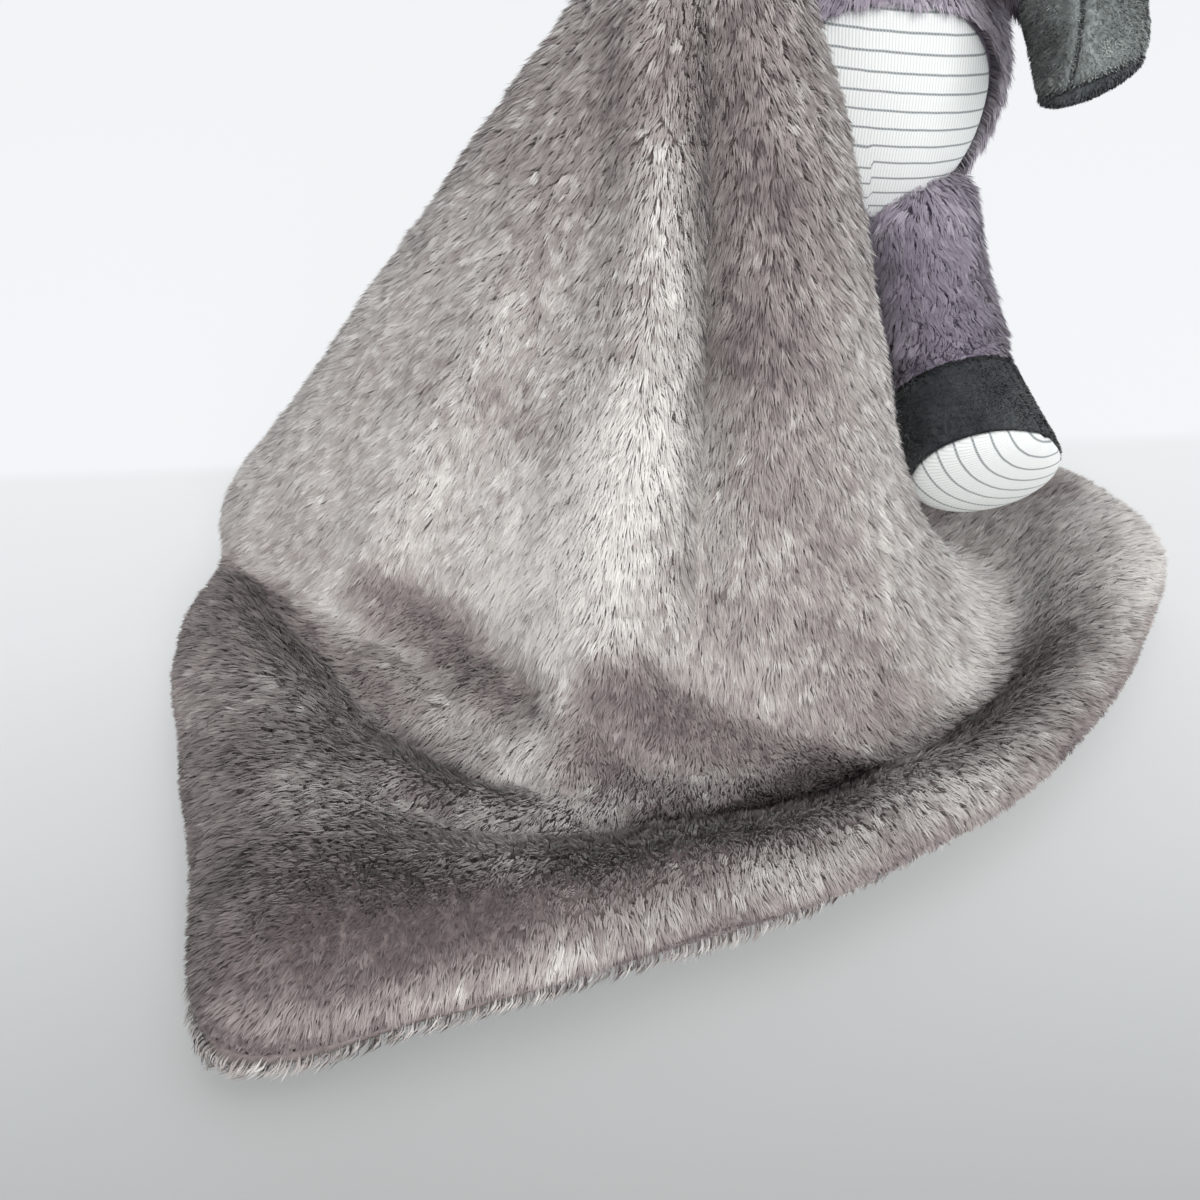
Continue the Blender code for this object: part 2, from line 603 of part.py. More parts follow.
def ear(side, sign, head_cover, head_fill):
    """A cupped leaf of plush with a knitted lining, pinched at its root in a slot of the head's seam."""
    way = Vector((0.50 * sign, 0.05, 0.86)).normalized()
    root = head_surface(way, -EAR_SOCKET_DEPTH)
    rise = (Vector((0.34 * sign, 0.06, 0.94))).normalized()
    width = Vector((1, 0, -0.36 * sign)).normalized()
    width = (width - rise * width.dot(rise)).normalized()
    face = width.cross(rise).normalized()
    if face.y > 0:
        face = -face
    rolled = EAR_SOCKET_RADIUS - SOCKET_GAP
    ends = [(rolled * along / EAR_LENGTH, rolled * across) for along, across in EAR_ROOT_SHARES]
    rows = ends + [((i + 1) / 9, 0) for i in range(9)]
    grid = np.empty((len(rows), 6, 3))
    back_cloth, lift = np.full((len(rows), 1, 1), EAR_BACK_CLOTH), np.zeros((len(rows), 1, 1))
    for i, (t, across) in enumerate(rows):
        leaf = math.sin(math.pi * min(1, t * 1.15)) ** 0.7 if t > 0 else 0
        half = EAR_HALF_WIDTH * (EAR_ROOT_SHARE + (1 - EAR_ROOT_SHARE) * leaf) * (1 - 0.55 * max(0, t) ** 3)
        if across:
            back_cloth[i], lift[i] = across * 2, across
        for j in range(6):
            q = (j - 2.5) / 2.5
            cup = EAR_CUP_SHARE * half * q**2 * max(0, min(1, t * 2))
            back = EAR_BEND_SHARE * EAR_LENGTH * t * abs(t)
            grid[i, j] = root + rise * EAR_LENGTH * t + width * half * q + face * (cup - back)
    front = np.array(face)
    lining_near = (grid + front * SEAM_GAP / 2)[len(ends) :]
    back_near = grid - front * SEAM_GAP / 2 + front * lift
    looks = ((LAVENDER_FUR, 0.95), (WHITE_KNIT, 0.85))
    back = slab("back", back_near, back_near - front * back_cloth)
    lining = slab("lining", lining_near + front * EAR_LINING_CLOTH, lining_near)
    back = add_object(f"ear_back_{side}", back, root, looks[0], head_cover)
    add_object(f"ear_lining_{side}", lining, root, looks[1], back)
    slot = slot_cutter(f"ear_slot_{side}", root, width)
    cut(head_cover, slot)
    cut(head_fill, slot)


def slot_cutter(name, root, width):
    """A rod along an ear's root, longer than the root is wide."""
    length = EAR_HALF_WIDTH * EAR_SLOT_SHARE * 2
    work = bmesh.new()
    bmesh.ops.create_cone(
        work,
        cap_ends=True,
        segments=20,
        radius1=EAR_SOCKET_RADIUS,
        radius2=EAR_SOCKET_RADIUS,
        depth=length,
    )
    mesh = bpy.data.meshes.new(name)
    work.to_mesh(mesh)
    work.free()
    mesh.transform(width.to_track_quat("Z", "Y").to_matrix().to_4x4())
    return hidden_cutter(name, mesh, root)


def neck_cutter():
    """The body's round top, a little larger, which the head sits down over."""
    rings = star_rings(body_surface, (0, 0, 1), 12, 84, SOCKET_GAP, 7, 24)
    tip = body_surface(Vector((0, 0, 1)), SOCKET_GAP)
    bottom = sum((Vector(p) for p in rings[-1]), Vector()) / len(rings[-1])
    return hidden_cutter("neck_cutter", stack("neck_cutter", rings, tip, bottom), Vector())


def tail(back, fill, parent):
    root = body_surface(Vector(TAIL_POLE).normalized(), 0)
    bend, tip = (root + Vector(shares) * TAIL_LENGTH for shares in TAIL_SHARES)
    limb = Limb((root, bend, tip), TAIL_ROOT_RADIUS, TAIL_RADIUS, 0.85, TAIL_RADIUS, 0)
    rings = limb.root_rings(0, 10, 2) + limb.tube(0, 1, 0, 10, 6)
    mesh = stack("tail", rings, limb.root_pole(0), limb.dome_pole(0, SEAM_GAP))
    sleeve = add_object("tail_sleeve", mesh, root, (LAVENDER_FUR, 0.95), parent)
    start = limb.place(1) + limb.way(1) * (SEAM_GAP * 2)
    long = limb.way(1) * TUFT_LENGTH
    side = long.cross(Vector((0, 1, 0))).normalized()
    up = side.cross(long).normalized()
    turns = [2 * math.pi * i / 12 for i in range(12)]
    rings = [
        [start + long * along + (side * math.cos(a) + up * math.sin(a)) * TUFT_RADIUS * wide for a in turns]
        for along, wide in TUFT_SHARES
    ]
    tuft = stack("tuft", rings, start, start + long)
    add_object("tail_tuft", tuft, root, (LAVENDER_FUR, 0.95), sleeve)
    socket = ball_cutter("tail_socket", root, TAIL_ROOT_RADIUS + SOCKET_GAP)
    cut(back, socket)
    cut(fill, socket)


def tack(parent):
    """The bundle of stitches that runs from the right hoof down into the blanket's gathered top."""
    turns = [2 * math.pi * i / 12 for i in range(12)]
    rings = []
    for down, wide in TACK_SHARES:
        centre = Vector((0, APEX_BACK, TACK_TOP - TACK_HEIGHT * down))
        rings.append([centre + Vector((math.cos(a), math.sin(a), 0)) * TACK_RADIUS * wide for a in turns])
    top = Vector((0, APEX_BACK, TACK_TOP))
    mesh = stack("tack", rings, top, top - Vector((0, 0, TACK_HEIGHT)))
    add_object("paw_tack", mesh, top, (THREAD, 0.7), parent)


def build():
    clear_scene()
    root = bpy.data.objects.new("lovey", None)
    bpy.context.scene.collection.objects.link(root)
    blanket_layers(root)
    tack(root)
    back, belly, stuffing = body(root)
    head_cover, head_fill = head(root)
    neck = neck_cutter()
    cut(head_cover, neck)
    cut(head_fill, neck)
    for side, sign in (("left", 1), ("right", -1)):
        ear(side, sign, head_cover, head_fill)
    tail(back, stuffing, root)
    arm_looks = ((LAVENDER_FUR, 0.95), (CHARCOAL, 0.9), (CHARCOAL, 0.9), "hoof_cap")
    leg_looks = ((LAVENDER_FUR, 0.95), (CHARCOAL, 0.9), (WHITE_KNIT, 0.85), "sole")
    arm_sizes = (ARM_ROOT_RADIUS, ARM_HOOF_RADIUS, 1.0, ARM_BULGE, FUR_CLOTH)
    leg_sizes = (LEG_ROOT_RADIUS, LEG_HOOF_RADIUS, LEG_WAIST_SHARE, LEG_BULGE, FUR_CLOTH)
    limbs = (
        ("arm", "left", Limb(limb_points(LEFT_ARM_SHARES), *arm_sizes), ARM_SEAM_SHARE, arm_looks),
        ("arm", "right", Limb([*limb_points(RIGHT_ARM_SHARES), HOLDING_HOOF], *arm_sizes), ARM_SEAM_SHARE, arm_looks),
        ("leg", "left", Limb(limb_points(LEFT_LEG_SHARES), *leg_sizes), LEG_SEAM_SHARE, leg_looks),
        ("leg", "right", Limb(limb_points(RIGHT_LEG_SHARES), *leg_sizes), LEG_SEAM_SHARE, leg_looks),
    )
    for kind, side, limb, seam, looks in limbs:
        limb_pieces(kind, side, limb, seam, looks, root, 16)
        socket = ball_cutter(f"{kind}_socket_{side}", limb.points[0], limb.radii[0] + SOCKET_GAP)
        for thing in (back, belly, stuffing):
            cut(thing, socket)


build()
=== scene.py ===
"""Comfort blanket lovey, dressed: long-pile plush blanket, furred donkey with striped knit and velour hooves.

Metres, in the frame of the solid model: the toy faces -Y, its left is +X, the floor is z = 0.
"""

import math

import bmesh
import bpy
import numpy as np
from mathutils import Matrix, Vector, kdtree


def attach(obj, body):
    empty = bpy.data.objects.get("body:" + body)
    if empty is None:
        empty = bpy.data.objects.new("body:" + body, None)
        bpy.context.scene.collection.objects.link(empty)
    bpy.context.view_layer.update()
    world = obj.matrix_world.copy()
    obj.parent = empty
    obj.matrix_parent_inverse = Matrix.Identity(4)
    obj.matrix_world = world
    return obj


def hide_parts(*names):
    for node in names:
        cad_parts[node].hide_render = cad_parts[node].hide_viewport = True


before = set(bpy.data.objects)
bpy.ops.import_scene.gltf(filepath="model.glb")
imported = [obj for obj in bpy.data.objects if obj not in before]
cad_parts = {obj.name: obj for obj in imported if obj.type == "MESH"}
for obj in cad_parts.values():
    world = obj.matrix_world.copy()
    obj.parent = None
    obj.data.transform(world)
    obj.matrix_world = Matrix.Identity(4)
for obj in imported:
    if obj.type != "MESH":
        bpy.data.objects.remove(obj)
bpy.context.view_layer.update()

# Sizes of the solid model, in metres
BLANKET_SIDE = 0.360
PLY = 0.0045
HEM_PLY = 0.0090
SEAM_GAP = 0.0003
FLAT_CUT = 0.0005
APEX_HEIGHT = 0.222
APEX_RADIUS = 0.0105
APEX_BACK = 0.120
PLEAT_DEPTH = 0.013
PLEAT_WIDTH = 0.016
PLEAT_OFFSET = 0.011
FULL_BRIM = 0.030
HANGING_HEIGHT = 0.015
FOLD_REACH = 0.0095
BODY_HALF_WIDTH = 0.0405
BODY_HALF_DEPTH = 0.0350
BODY_HALF_HEIGHT = 0.0530
BODY_CENTRE = Vector((0.0570, 0.1830, 0.1615))
NECK_RADIUS = 0.0310
HEAD_HALF_WIDTH = 0.0370
HEAD_HALF_DEPTH = 0.0390
HEAD_HALF_HEIGHT = 0.0385
HEAD_RISE = BODY_HALF_HEIGHT + HEAD_HALF_HEIGHT - 0.0050
HEAD_FORWARD = 0.0070
MUZZLE_REACH = 0.0260
TOY_LEAN = math.radians(4)
EAR_LENGTH = 0.0780
EAR_HALF_WIDTH = 0.0155
TAIL_LENGTH = 0.0500
TUFT_LENGTH = 0.0340
TACK_TOP = APEX_HEIGHT + 0.0020
TACK_LENGTH = 0.0150
TACK_RADIUS = 0.0043
ARM_SIZES = (0.0135, 0.0168, 1.0, 0.0050)
LEG_SIZES = (0.0172, 0.0240, 0.95, 0.0065)
HOLDING_HOOF = Vector((0, APEX_BACK - ARM_SIZES[1] * 0.65, TACK_TOP + ARM_SIZES[1] * 1.24))

# Blanket stations: azimuth, then shares of the side: foot, hem, rise, height of foot and hem, waist.
BLANKET_SHARES = (
    (-162, 0.145, 0.180, 0.000, 0.182, 0.148, 0.000),
    (-145, 0.215, 0.240, 0.000, 0.145, 0.100, 0.000),
    (-125, 0.335, 0.325, 0.000, 0.105, 0.052, 0.000),
    (-110, 0.430, 0.400, 0.000, 0.082, 0.020, 0.000),
    (-96, 0.462, 0.445, 0.006, 0.064, 0.004, 0.000),
    (-80, 0.395, 0.482, 0.036, 0.048, 0.000, 0.006),
    (-60, 0.330, 0.515, 0.060, 0.018, 0.000, 0.014),
    (-46, 0.322, 0.565, 0.072, 0.004, 0.000, 0.020),
    (-35, 0.335, 0.635, 0.078, 0.000, 0.000, 0.022),
    (-24, 0.350, 0.545, 0.070, 0.000, 0.000, 0.022),
    (-12, 0.335, 0.474, 0.060, 0.000, 0.000, 0.024),
    (2, 0.318, 0.430, 0.054, 0.000, 0.000, 0.028),
    (18, 0.308, 0.396, 0.050, 0.000, 0.000, 0.030),
    (36, 0.305, 0.386, 0.046, 0.000, 0.000, 0.032),
    (54, 0.300, 0.388, 0.043, 0.000, 0.000, 0.044),
    (72, 0.286, 0.410, 0.042, 0.000, 0.000, 0.058),
    (90, 0.258, 0.448, 0.040, 0.000, 0.000, 0.066),
    (106, 0.222, 0.430, 0.018, 0.000, 0.000, 0.060),
    (120, 0.196, 0.395, 0.004, 0.006, 0.004, 0.046),
)
SLOPE_SHARES = (0.0, 0.25, 0.5, 0.72, 0.88, 1.0)
BRIM_SHARES = ((0.14, 0.06), (0.34, 0.64), (0.54, 1.0), (0.74, 0.82), (0.90, 0.16), (1.0, 0.0))
HEM_PLACES = (0.0, 0.54, 0.615, 0.692, 0.769, 0.846, 0.923, 1.0)
HEM_SHARES = (0.0, 0.0, 0.2, 0.5, 0.85, 1.0, 0.92, -0.35)
FINE_PLACES = 161
SLOPE_ROWS = 44
BRIM_ROWS = 26
COLUMNS = 200
CREASE_DEPTH = 0.0140  # one lobe of the cloth laps over the other down the front of the cone
CREASE_RISE = 0.0055
CREASE_STEEP = 0.0028
CREASE_EASY = 0.0150
CREASE_LOBE = 0.0085
CREASE_DRIFT = 0.03
GATHER_DEPTH = 0.020  # the top is drawn in round the tack, in small puckers
GATHER_SHARE = 0.5
PUCKER = 0.0009
PUCKERS = 8
PILE_DEPTH = 0.0024  # the woven back of the plush lies this far inside the pile's outline
BACK_CLOTH = 0.0012
RIPPLE = 0.0006
HEM_TUCK = (0.0042, 0.0026)  # how far the seam at the hem is drawn in, and how far from the hem that reaches
HEM_LIFT = (0.0030, 0.0060)
UNDER_LIP = (0.0040, 0.0050, 0.0040)  # the under layer's rim: how far it stands out, its place and its reach
UNDER_FLOOR = 0.0016

LEFT_ARM_SHARES = ((0.560, -0.170, 0.765), (0.905, -0.810, 0.820), (0.860, -1.245, 0.200))
RIGHT_ARM_SHARES = ((-0.540, -0.170, 0.735), (-1.000, -0.470, 1.370))
LEFT_LEG_SHARES = ((0.335, -0.250, -0.850), (0.375, -0.680, -1.530), (0.585, -1.510, -1.935))
RIGHT_LEG_SHARES = ((-0.330, -0.250, -0.850), (-0.660, -0.340, -1.290), (-1.030, -0.720, -1.980))
ARM_SEAM_SHARE = 0.58
LEG_SEAM_SHARE = 0.66
BELLY_POLE = Vector((0.0, -1.0, -0.27)).normalized()
BELLY_ANGLE = 61
MUZZLE_POLE = Vector((0.0, -0.93, -0.37)).normalized()
MUZZLE_ANGLE = 44
MUZZLE_SPREAD = 41
TAIL_WAY = Vector((0.0, 0.88, -0.47)).normalized()

# How far the cloths' backs lie inside the solids' outline, and how thick the cloths are
FUR_INSET = 0.0020
NAP_INSET = 0.0006
SEAM_INSET = 0.0016
CAP_INSET = 0.0013
BESIDE_CAP_INSET = 0.0008
FUR_CLOTH = 0.0014
THIN_CLOTH = 0.0010
SOLE_CLOTH = 0.0008

# Stitched features: the way to each from the head's middle, then its half angle in degrees and its swell
EYE_WAYS = [Vector((0.56 * sign, -0.72, 0.26)) for sign in (1, -1)]
NOSTRIL_WAYS = [Vector((0.20 * sign, -0.93, -0.24)) for sign in (1, -1)]
EYE_SIZE = (6.2, 0.0034)
NOSTRIL_SIZE = (2.6, 0.0022)

# The mane's first pitch over the forehead, how far it sweeps back, and its half width, in degrees
MANE_START = 62
MANE_SWEEP = 152
MANE_HALF = 13

# Rings of points round a padded piece, counted from its pole or from a limb's root
SHELL_SEAM = 24
SHELL_RINGS = 56
LIMB_ROOT = 8
LIMB_SEAM = 36
LIMB_CAP = 56
LIMB_RINGS = 66

# The belly's dart: how far right of the middle it lies, its top, and how far it shifts the stripes
DART_PLACE = -0.004
DART_TOP = -0.012
DART_SHIFT = 0.42

# The hooves' ends are cut on a slant: which side reaches further, the angle and how far the end is drawn in.
HAND_SLANT = ((-1.0, -0.55, 0.4), math.radians(30), 0.0035)
SOLE_SLANT = ((1.0, 0.3, 0.1), math.radians(11), 0.0)
SOLE_CORNER = (0.45, 0.0, 0.90)  # the way to the corner that the sole's stripes bend round
SOLE_TURN = 0.030
HAND_TAPER = 0.20

# The hooves' long seams: the way each faces, how deep and wide its groove is, and the swell beside it
ARM_THREAD_WAY = Vector((-0.5, -0.7, 0.5))
HELD_THREAD_WAY = Vector((0.2, -0.6, 0.7))
LEG_THREAD_WAY = Vector((0.62, -0.45, 0.62))
GROOVE = (0.0010, 0.0007)
SWELL = (0.0004, 0.0026, 0.0018)
DRAWN_TO_SEAM = 0.62  # points are drawn round toward the seam, so that its groove is sharp

# Each pile's number of fibres, their length and their width
PILES = {
    "blanket_top": (400000, 0.0066, 0.00040),
    "blanket_under": (66000, 0.0056, 0.00042),
    "body": (54000, 0.0080, 0.00050),
    "head": (40000, 0.0072, 0.00050),
    "muzzle": (17000, 0.0022, 0.00040),
    "mane": (14000, 0.0125, 0.00070),
    "arm": (26000, 0.0078, 0.00036),
    "leg": (44000, 0.0078, 0.00036),
    "arm_nap": (13000, 0.0016, 0.00032),
    "leg_nap": (20000, 0.0016, 0.00032),
    "cap_nap": (4000, 0.0015, 0.00032),
    "ear": (12000, 0.0062, 0.00050),
    "tail": (8000, 0.0062, 0.00050),
    "tuft": (8000, 0.0170, 0.00070),
}

# Steps of the cloths' patterns
STRIPE_STEP = 0.0054
STRIPE_WIDTH = 0.00062
WALE_STEP = 0.00095  # real wales are about 0.8 mm apart, drawn a little coarser so that they show
COURSE_STEP = WALE_STEP * 0.72
WAVER_STEP = 1 / 160  # the striped yarn wavers by up to 0.4 mm, about every 6 mm
WAVER = 0.0004
TUFT_STEP = 1 / 330  # tufts about 3 mm apart
NAP_STEP = 1 / 1400  # real velour is finer than 0.7 mm, drawn a little coarse so that it shows
STROKE_STEP = 1 / 85  # strokes of the hand about 12 mm wide
STRAND_SCALE = 380.0  # a strand each 0.95 mm, where real ones are about 0.4 mm, so that they show

MATH = "ShaderNodeMath"
WALL_WHITE = "F5F7F9"


# Colours and nodes


def linear(code):
    """An sRGB hex colour as linear red, green, blue and one."""
    parts = [int(code[i : i + 2], 16) / 255 for i in (0, 2, 4)]
    return (*(p / 12.92 if p <= 0.04045 else ((p + 0.055) / 1.055) ** 2.4 for p in parts), 1.0)


def add_node(tree, kind, inputs=(), stops=(), output=0, **settings):
    """Adds a node with its settings and gives one output. inputs maps a socket's name or number to a value
    or to an output to link, and stops are a colour ramp's places, each with a hex colour or a grey level."""
    made = tree.nodes.new(kind)
    for name, value in settings.items():
        setattr(made, name, value)
    for key, value in dict(inputs).items():
        if isinstance(value, bpy.types.NodeSocket):
            tree.links.new(value, made.inputs[key])
        else:
            made.inputs[key].default_value = value
    while stops and len(made.color_ramp.elements) < len(stops):
        made.color_ramp.elements.new(0.5)
    for number, (place, tint) in enumerate(stops):
        point = made.color_ramp.elements[number]
        point.position = place
        point.color = linear(tint) if isinstance(tint, str) else (tint, tint, tint, 1.0)
    return made.outputs[output]


def new_material(name, shader_inputs):
    """A material with a Principled shader and its tree."""
    made = bpy.data.materials.new(name)
    made.use_nodes = True
    tree = made.node_tree
    shader = tree.nodes["Principled BSDF"]
    for key, value in shader_inputs.items():
        shader.inputs[key].default_value = value
    return made, tree, shader


def pile_material(name, dark, middle, light, root, sheen):
    """Brushed polyester pile: soft matt fibres, painted darker down among their roots as painted shade. The
    map across holds each fibre's own tone and the map up runs from its root to its tip."""
    gloss = {"Roughness": 0.85, "Specular IOR Level": 0.18, "Sheen Weight": sheen, "Sheen Roughness": 0.45}
    made, tree, shader = new_material(name, gloss)
    places = add_node(tree, "ShaderNodeUVMap", uv_map="OFBake")
    across = add_node(tree, "ShaderNodeSeparateXYZ", {0: places})
    colours = ((0.0, dark), (0.5, middle), (1.0, light))
    tones = add_node(tree, "ShaderNodeValToRGB", {0: across}, stops=colours)
    # Painted shade: each fibre darkens toward its root, down to the root share
    shades = ((0.0, root), (0.55, 0.86), (1.0, 1.0))
    depth = add_node(tree, "ShaderNodeValToRGB", {0: across.node.outputs[1]}, stops=shades)
    both = {0: 1.0, 6: tones, 7: depth}
    mixed = add_node(tree, "ShaderNodeMix", both, output=2, data_type="RGBA", blend_type="MULTIPLY")
    tree.links.new(mixed, shader.inputs["Base Color"])
    return made


def backing_material(name, dark, light):
    """Knitted back of plush, seen only as dark specks between the tufts, so it is mottled at tuft size. It is
    painted darker than the pile: painted shade down between the tufts.
    """
    made, tree, shader = new_material(name, {"Roughness": 0.95, "Specular IOR Level": 0.1})
    places = add_node(tree, "ShaderNodeTexCoord", output="Object")
    size = {"Vector": places, "Scale": 1 / TUFT_STEP, "Detail": 4.0, "Roughness": 0.6}
    tufts = add_node(tree, "ShaderNodeTexNoise", size)
    colour = add_node(tree, "ShaderNodeValToRGB", {0: tufts}, stops=((0.35, dark), (0.70, light)))
    tree.links.new(colour, shader.inputs["Base Color"])
    bump = add_node(tree, "ShaderNodeBump", {"Height": tufts, "Strength": 0.6, "Distance": 0.001})
    tree.links.new(bump, shader.inputs["Normal"])
    return made


def velour_material(name, dark, middle, light, seam):
    """Short cut velour: a dense 1 mm nap that greys where it is stroked the other way, painted dark at its
    seams as painted shade in their grooves.
    """
    gloss = {"Roughness": 0.92, "Specular IOR Level": 0.12, "Sheen Weight": 0.12, "Sheen Roughness": 0.5}
    made, tree, shader = new_material(name, gloss)
    places = add_node(tree, "ShaderNodeTexCoord", output="Object")
    fine = {"Vector": places, "Scale": 1 / NAP_STEP, "Detail": 3.0, "Roughness": 0.7}
    broad = {"Vector": places, "Scale": 1 / STROKE_STEP, "Detail": 3.0, "Roughness": 0.6}
    nap = add_node(tree, "ShaderNodeTexNoise", fine)
    strokes = add_node(tree, "ShaderNodeTexNoise", broad)
    both = add_node(tree, "ShaderNodeMix", {0: 0.62, 2: nap, 3: strokes})
    shades = ((0.36, dark), (0.52, middle), (0.70, light))
    colour = add_node(tree, "ShaderNodeValToRGB", {0: both}, stops=shades)
    # Painted shade: the seam colour is mixed in where a point lies in a seam's groove
    groove = add_node(tree, "ShaderNodeAttribute", output="Fac", attribute_name="seam")
    sewn = {0: groove, 6: colour, 7: linear(seam)}
    mixed = add_node(tree, "ShaderNodeMix", sewn, output=2, data_type="RGBA")
    tree.links.new(mixed, shader.inputs["Base Color"])
    bump = add_node(tree, "ShaderNodeBump", {"Height": both, "Strength": 0.5, "Distance": 0.0008})
    tree.links.new(bump, shader.inputs["Normal"])
    return made


def knit_material(name, ground, hollow, stripe):
    """Fine cotton jersey: white wales with small shadows between them, and a grey yarn let in every 5 mm. The
    map is laid out in metres, across the wales and along them."""
    gloss = {"Roughness": 0.85, "Specular IOR Level": 0.2, "Sheen Weight": 0.05}
    made, tree, shader = new_material(name, gloss)
    places = add_node(tree, "ShaderNodeUVMap", uv_map="Knit")
    size = {"Vector": places, "Scale": 1 / WAVER_STEP, "Detail": 1.0}
    wobble = add_node(tree, "ShaderNodeTexNoise", size)
    across = add_node(tree, "ShaderNodeSeparateXYZ", {0: places})
    along = across.node.outputs[1]
    wale = add_node(tree, MATH, {0: across, 1: 2 * math.pi / WALE_STEP}, operation="MULTIPLY")
    half_wale = add_node(tree, MATH, {0: wale, 1: 0.5}, operation="MULTIPLY")
    wave = add_node(tree, MATH, {0: half_wale}, operation="SINE")
    rib = add_node(tree, MATH, {0: wave}, operation="ABSOLUTE")
    course = add_node(tree, MATH, {0: along, 1: 2 * math.pi / COURSE_STEP}, operation="MULTIPLY")
    slanted = add_node(tree, MATH, {0: course, 1: half_wale}, operation="ADD")
    loop = add_node(tree, MATH, {0: slanted}, operation="SINE")
    loops = add_node(tree, MATH, {0: loop, 1: 0.20, 2: 0.8}, operation="MULTIPLY_ADD")
    height = add_node(tree, MATH, {0: rib, 1: loops}, operation="MULTIPLY")
    shifted = add_node(tree, MATH, {0: wobble, 1: WAVER, 2: along}, operation="MULTIPLY_ADD")
    stripes = add_node(tree, MATH, {0: shifted, 1: STRIPE_STEP}, operation="DIVIDE")
    step = add_node(tree, MATH, {0: stripes}, operation="FRACT")
    off = add_node(tree, MATH, {0: step, 1: 0.5}, operation="SUBTRACT")
    off = add_node(tree, MATH, {0: off}, operation="ABSOLUTE")
    edge = STRIPE_WIDTH / STRIPE_STEP / 2
    line = add_node(tree, "ShaderNodeMapRange", {0: off, 1: edge * 0.5, 2: edge * 1.6, 3: 1.0, 4: 0.0})
    thick = add_node(tree, MATH, {0: rib, 1: 0.65, 2: 0.5}, operation="MULTIPLY_ADD")
    yarn = add_node(tree, MATH, {0: line, 1: thick}, operation="MULTIPLY")
    shade = add_node(tree, "ShaderNodeValToRGB", {0: height}, stops=((0.0, hollow), (0.55, ground)))
    striped = {0: yarn, 6: shade, 7: linear(stripe)}
    mixed = add_node(tree, "ShaderNodeMix", striped, output=2, data_type="RGBA")
    tree.links.new(mixed, shader.inputs["Base Color"])
    bump = add_node(tree, "ShaderNodeBump", {"Height": height, "Strength": 0.4, "Distance": 0.0003})
    tree.links.new(bump, shader.inputs["Normal"])
    return made


def thread_material(name, colour, light):
    """Satin-stitched rayon thread: smooth parallel strands with a silky shine."""
    made, tree, shader = new_material(name, {"Roughness": 0.38, "Specular IOR Level": 0.5})
    places = add_node(tree, "ShaderNodeTexCoord", output="Object")
    size = {"Vector": places, "Scale": STRAND_SCALE, "Distortion": 0.6, "Detail": 1.0}
    strands = add_node(tree, "ShaderNodeTexWave", size, bands_direction="DIAGONAL")
    shade = add_node(tree, "ShaderNodeValToRGB", {0: strands}, stops=((0.1, colour), (0.9, light)))
    tree.links.new(shade, shader.inputs["Base Color"])
    bump = add_node(tree, "ShaderNodeBump", {"Height": strands, "Strength": 0.7, "Distance": 0.0003})
    tree.links.new(bump, shader.inputs["Normal"])
    return made


GREY_PILE = pile_material("long_pile_plush", "6C6163", "B6ADAA", "F8F5F1", 0.74, 0.2)
GREY_BACK = backing_material("plush_back", "7C7270", "958B89")
FUR_PILE = pile_material("shaggy_polyester_fur", "8A818F", "AFA5B4", "E4DCE6", 0.70, 0.2)
FUR_BACK = backing_material("fur_back", "6F6678", "897F8E")
MANE_PILE = pile_material("mane_plush", "4A454D", "6B656E", "918A94", 0.45, 0.2)
# The last colour of each velour is painted shade for its seam grooves.
VELOUR = velour_material("charcoal_velour", "383B3E", "494C50", "6C706E", "141616")
VELOUR_NAP = pile_material("charcoal_nap", "3A3E40", "55595C", "7E8380", 0.75, 0.15)
# The arm hooves' velour and nap are lit copies of the charcoal ones, painted lighter: painted light.
HAND_VELOUR_PAINTED_LIGHT = velour_material("charcoal_velour_painted_light", "616665", "838988", "AEB4B2", "2A2D2E")
HAND_NAP_PAINTED_LIGHT = pile_material("greyed_nap", "6D7270", "959B99", "C6CCC9", 0.75, 0.15)
MUZZLE_VELOUR = velour_material("pale_velour", "A49CA2", "BDB6BA", "D6D0D2", "8A8288")
MUZZLE_NAP = pile_material("pale_nap", "A79FA4", "C2BABE", "DCD6D8", 0.75, 0.15)
KNIT = knit_material("striped_jersey", "EEF0EF", "D2D7D6", "868D8F")
THREAD = thread_material("satin_thread", "1C1B1E", "3A383D")


# Mesh helpers


def face_out(work):
    work.normal_update()
    bmesh.ops.recalc_face_normals(work, faces=work.faces)


def keep_mesh(name, work, look):
    """Turns a bmesh into an object at the origin with one material."""
    mesh = bpy.data.meshes.new(name)
    work.to_mesh(mesh)
    work.free()
    mesh.shade_smooth()
    mesh.materials.append(look)
    thing = bpy.data.objects.new(name, mesh)
    bpy.context.scene.collection.objects.link(thing)
    return thing


def dress(thing, body, slot, *nodes):
    """Lets a piece ride on a body and stand for solids. Its slot is not used."""
    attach(thing, body)
    if nodes:
        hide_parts(*nodes)
    return thing


def thicken(thing, thickness):
    """Gives a skin its cloth's thickness, inwards."""
    made = thing.modifiers.new("cloth", "SOLIDIFY")
    made.thickness = thickness
    made.offset = -1.0
    made.use_even_offset = False


def places_of(mesh, kind="co"):
    """The mesh's points, or their normals."""
    made = np.empty(len(mesh.vertices) * 3, np.float32)
    mesh.vertices.foreach_get(kind, made)
    return made.reshape(-1, 3).astype(np.float64)


def normals_of(mesh):
    return places_of(mesh, "normal")


def unit(vectors):
    return vectors / np.maximum(np.linalg.norm(vectors, axis=-1, keepdims=True), 1e-9)


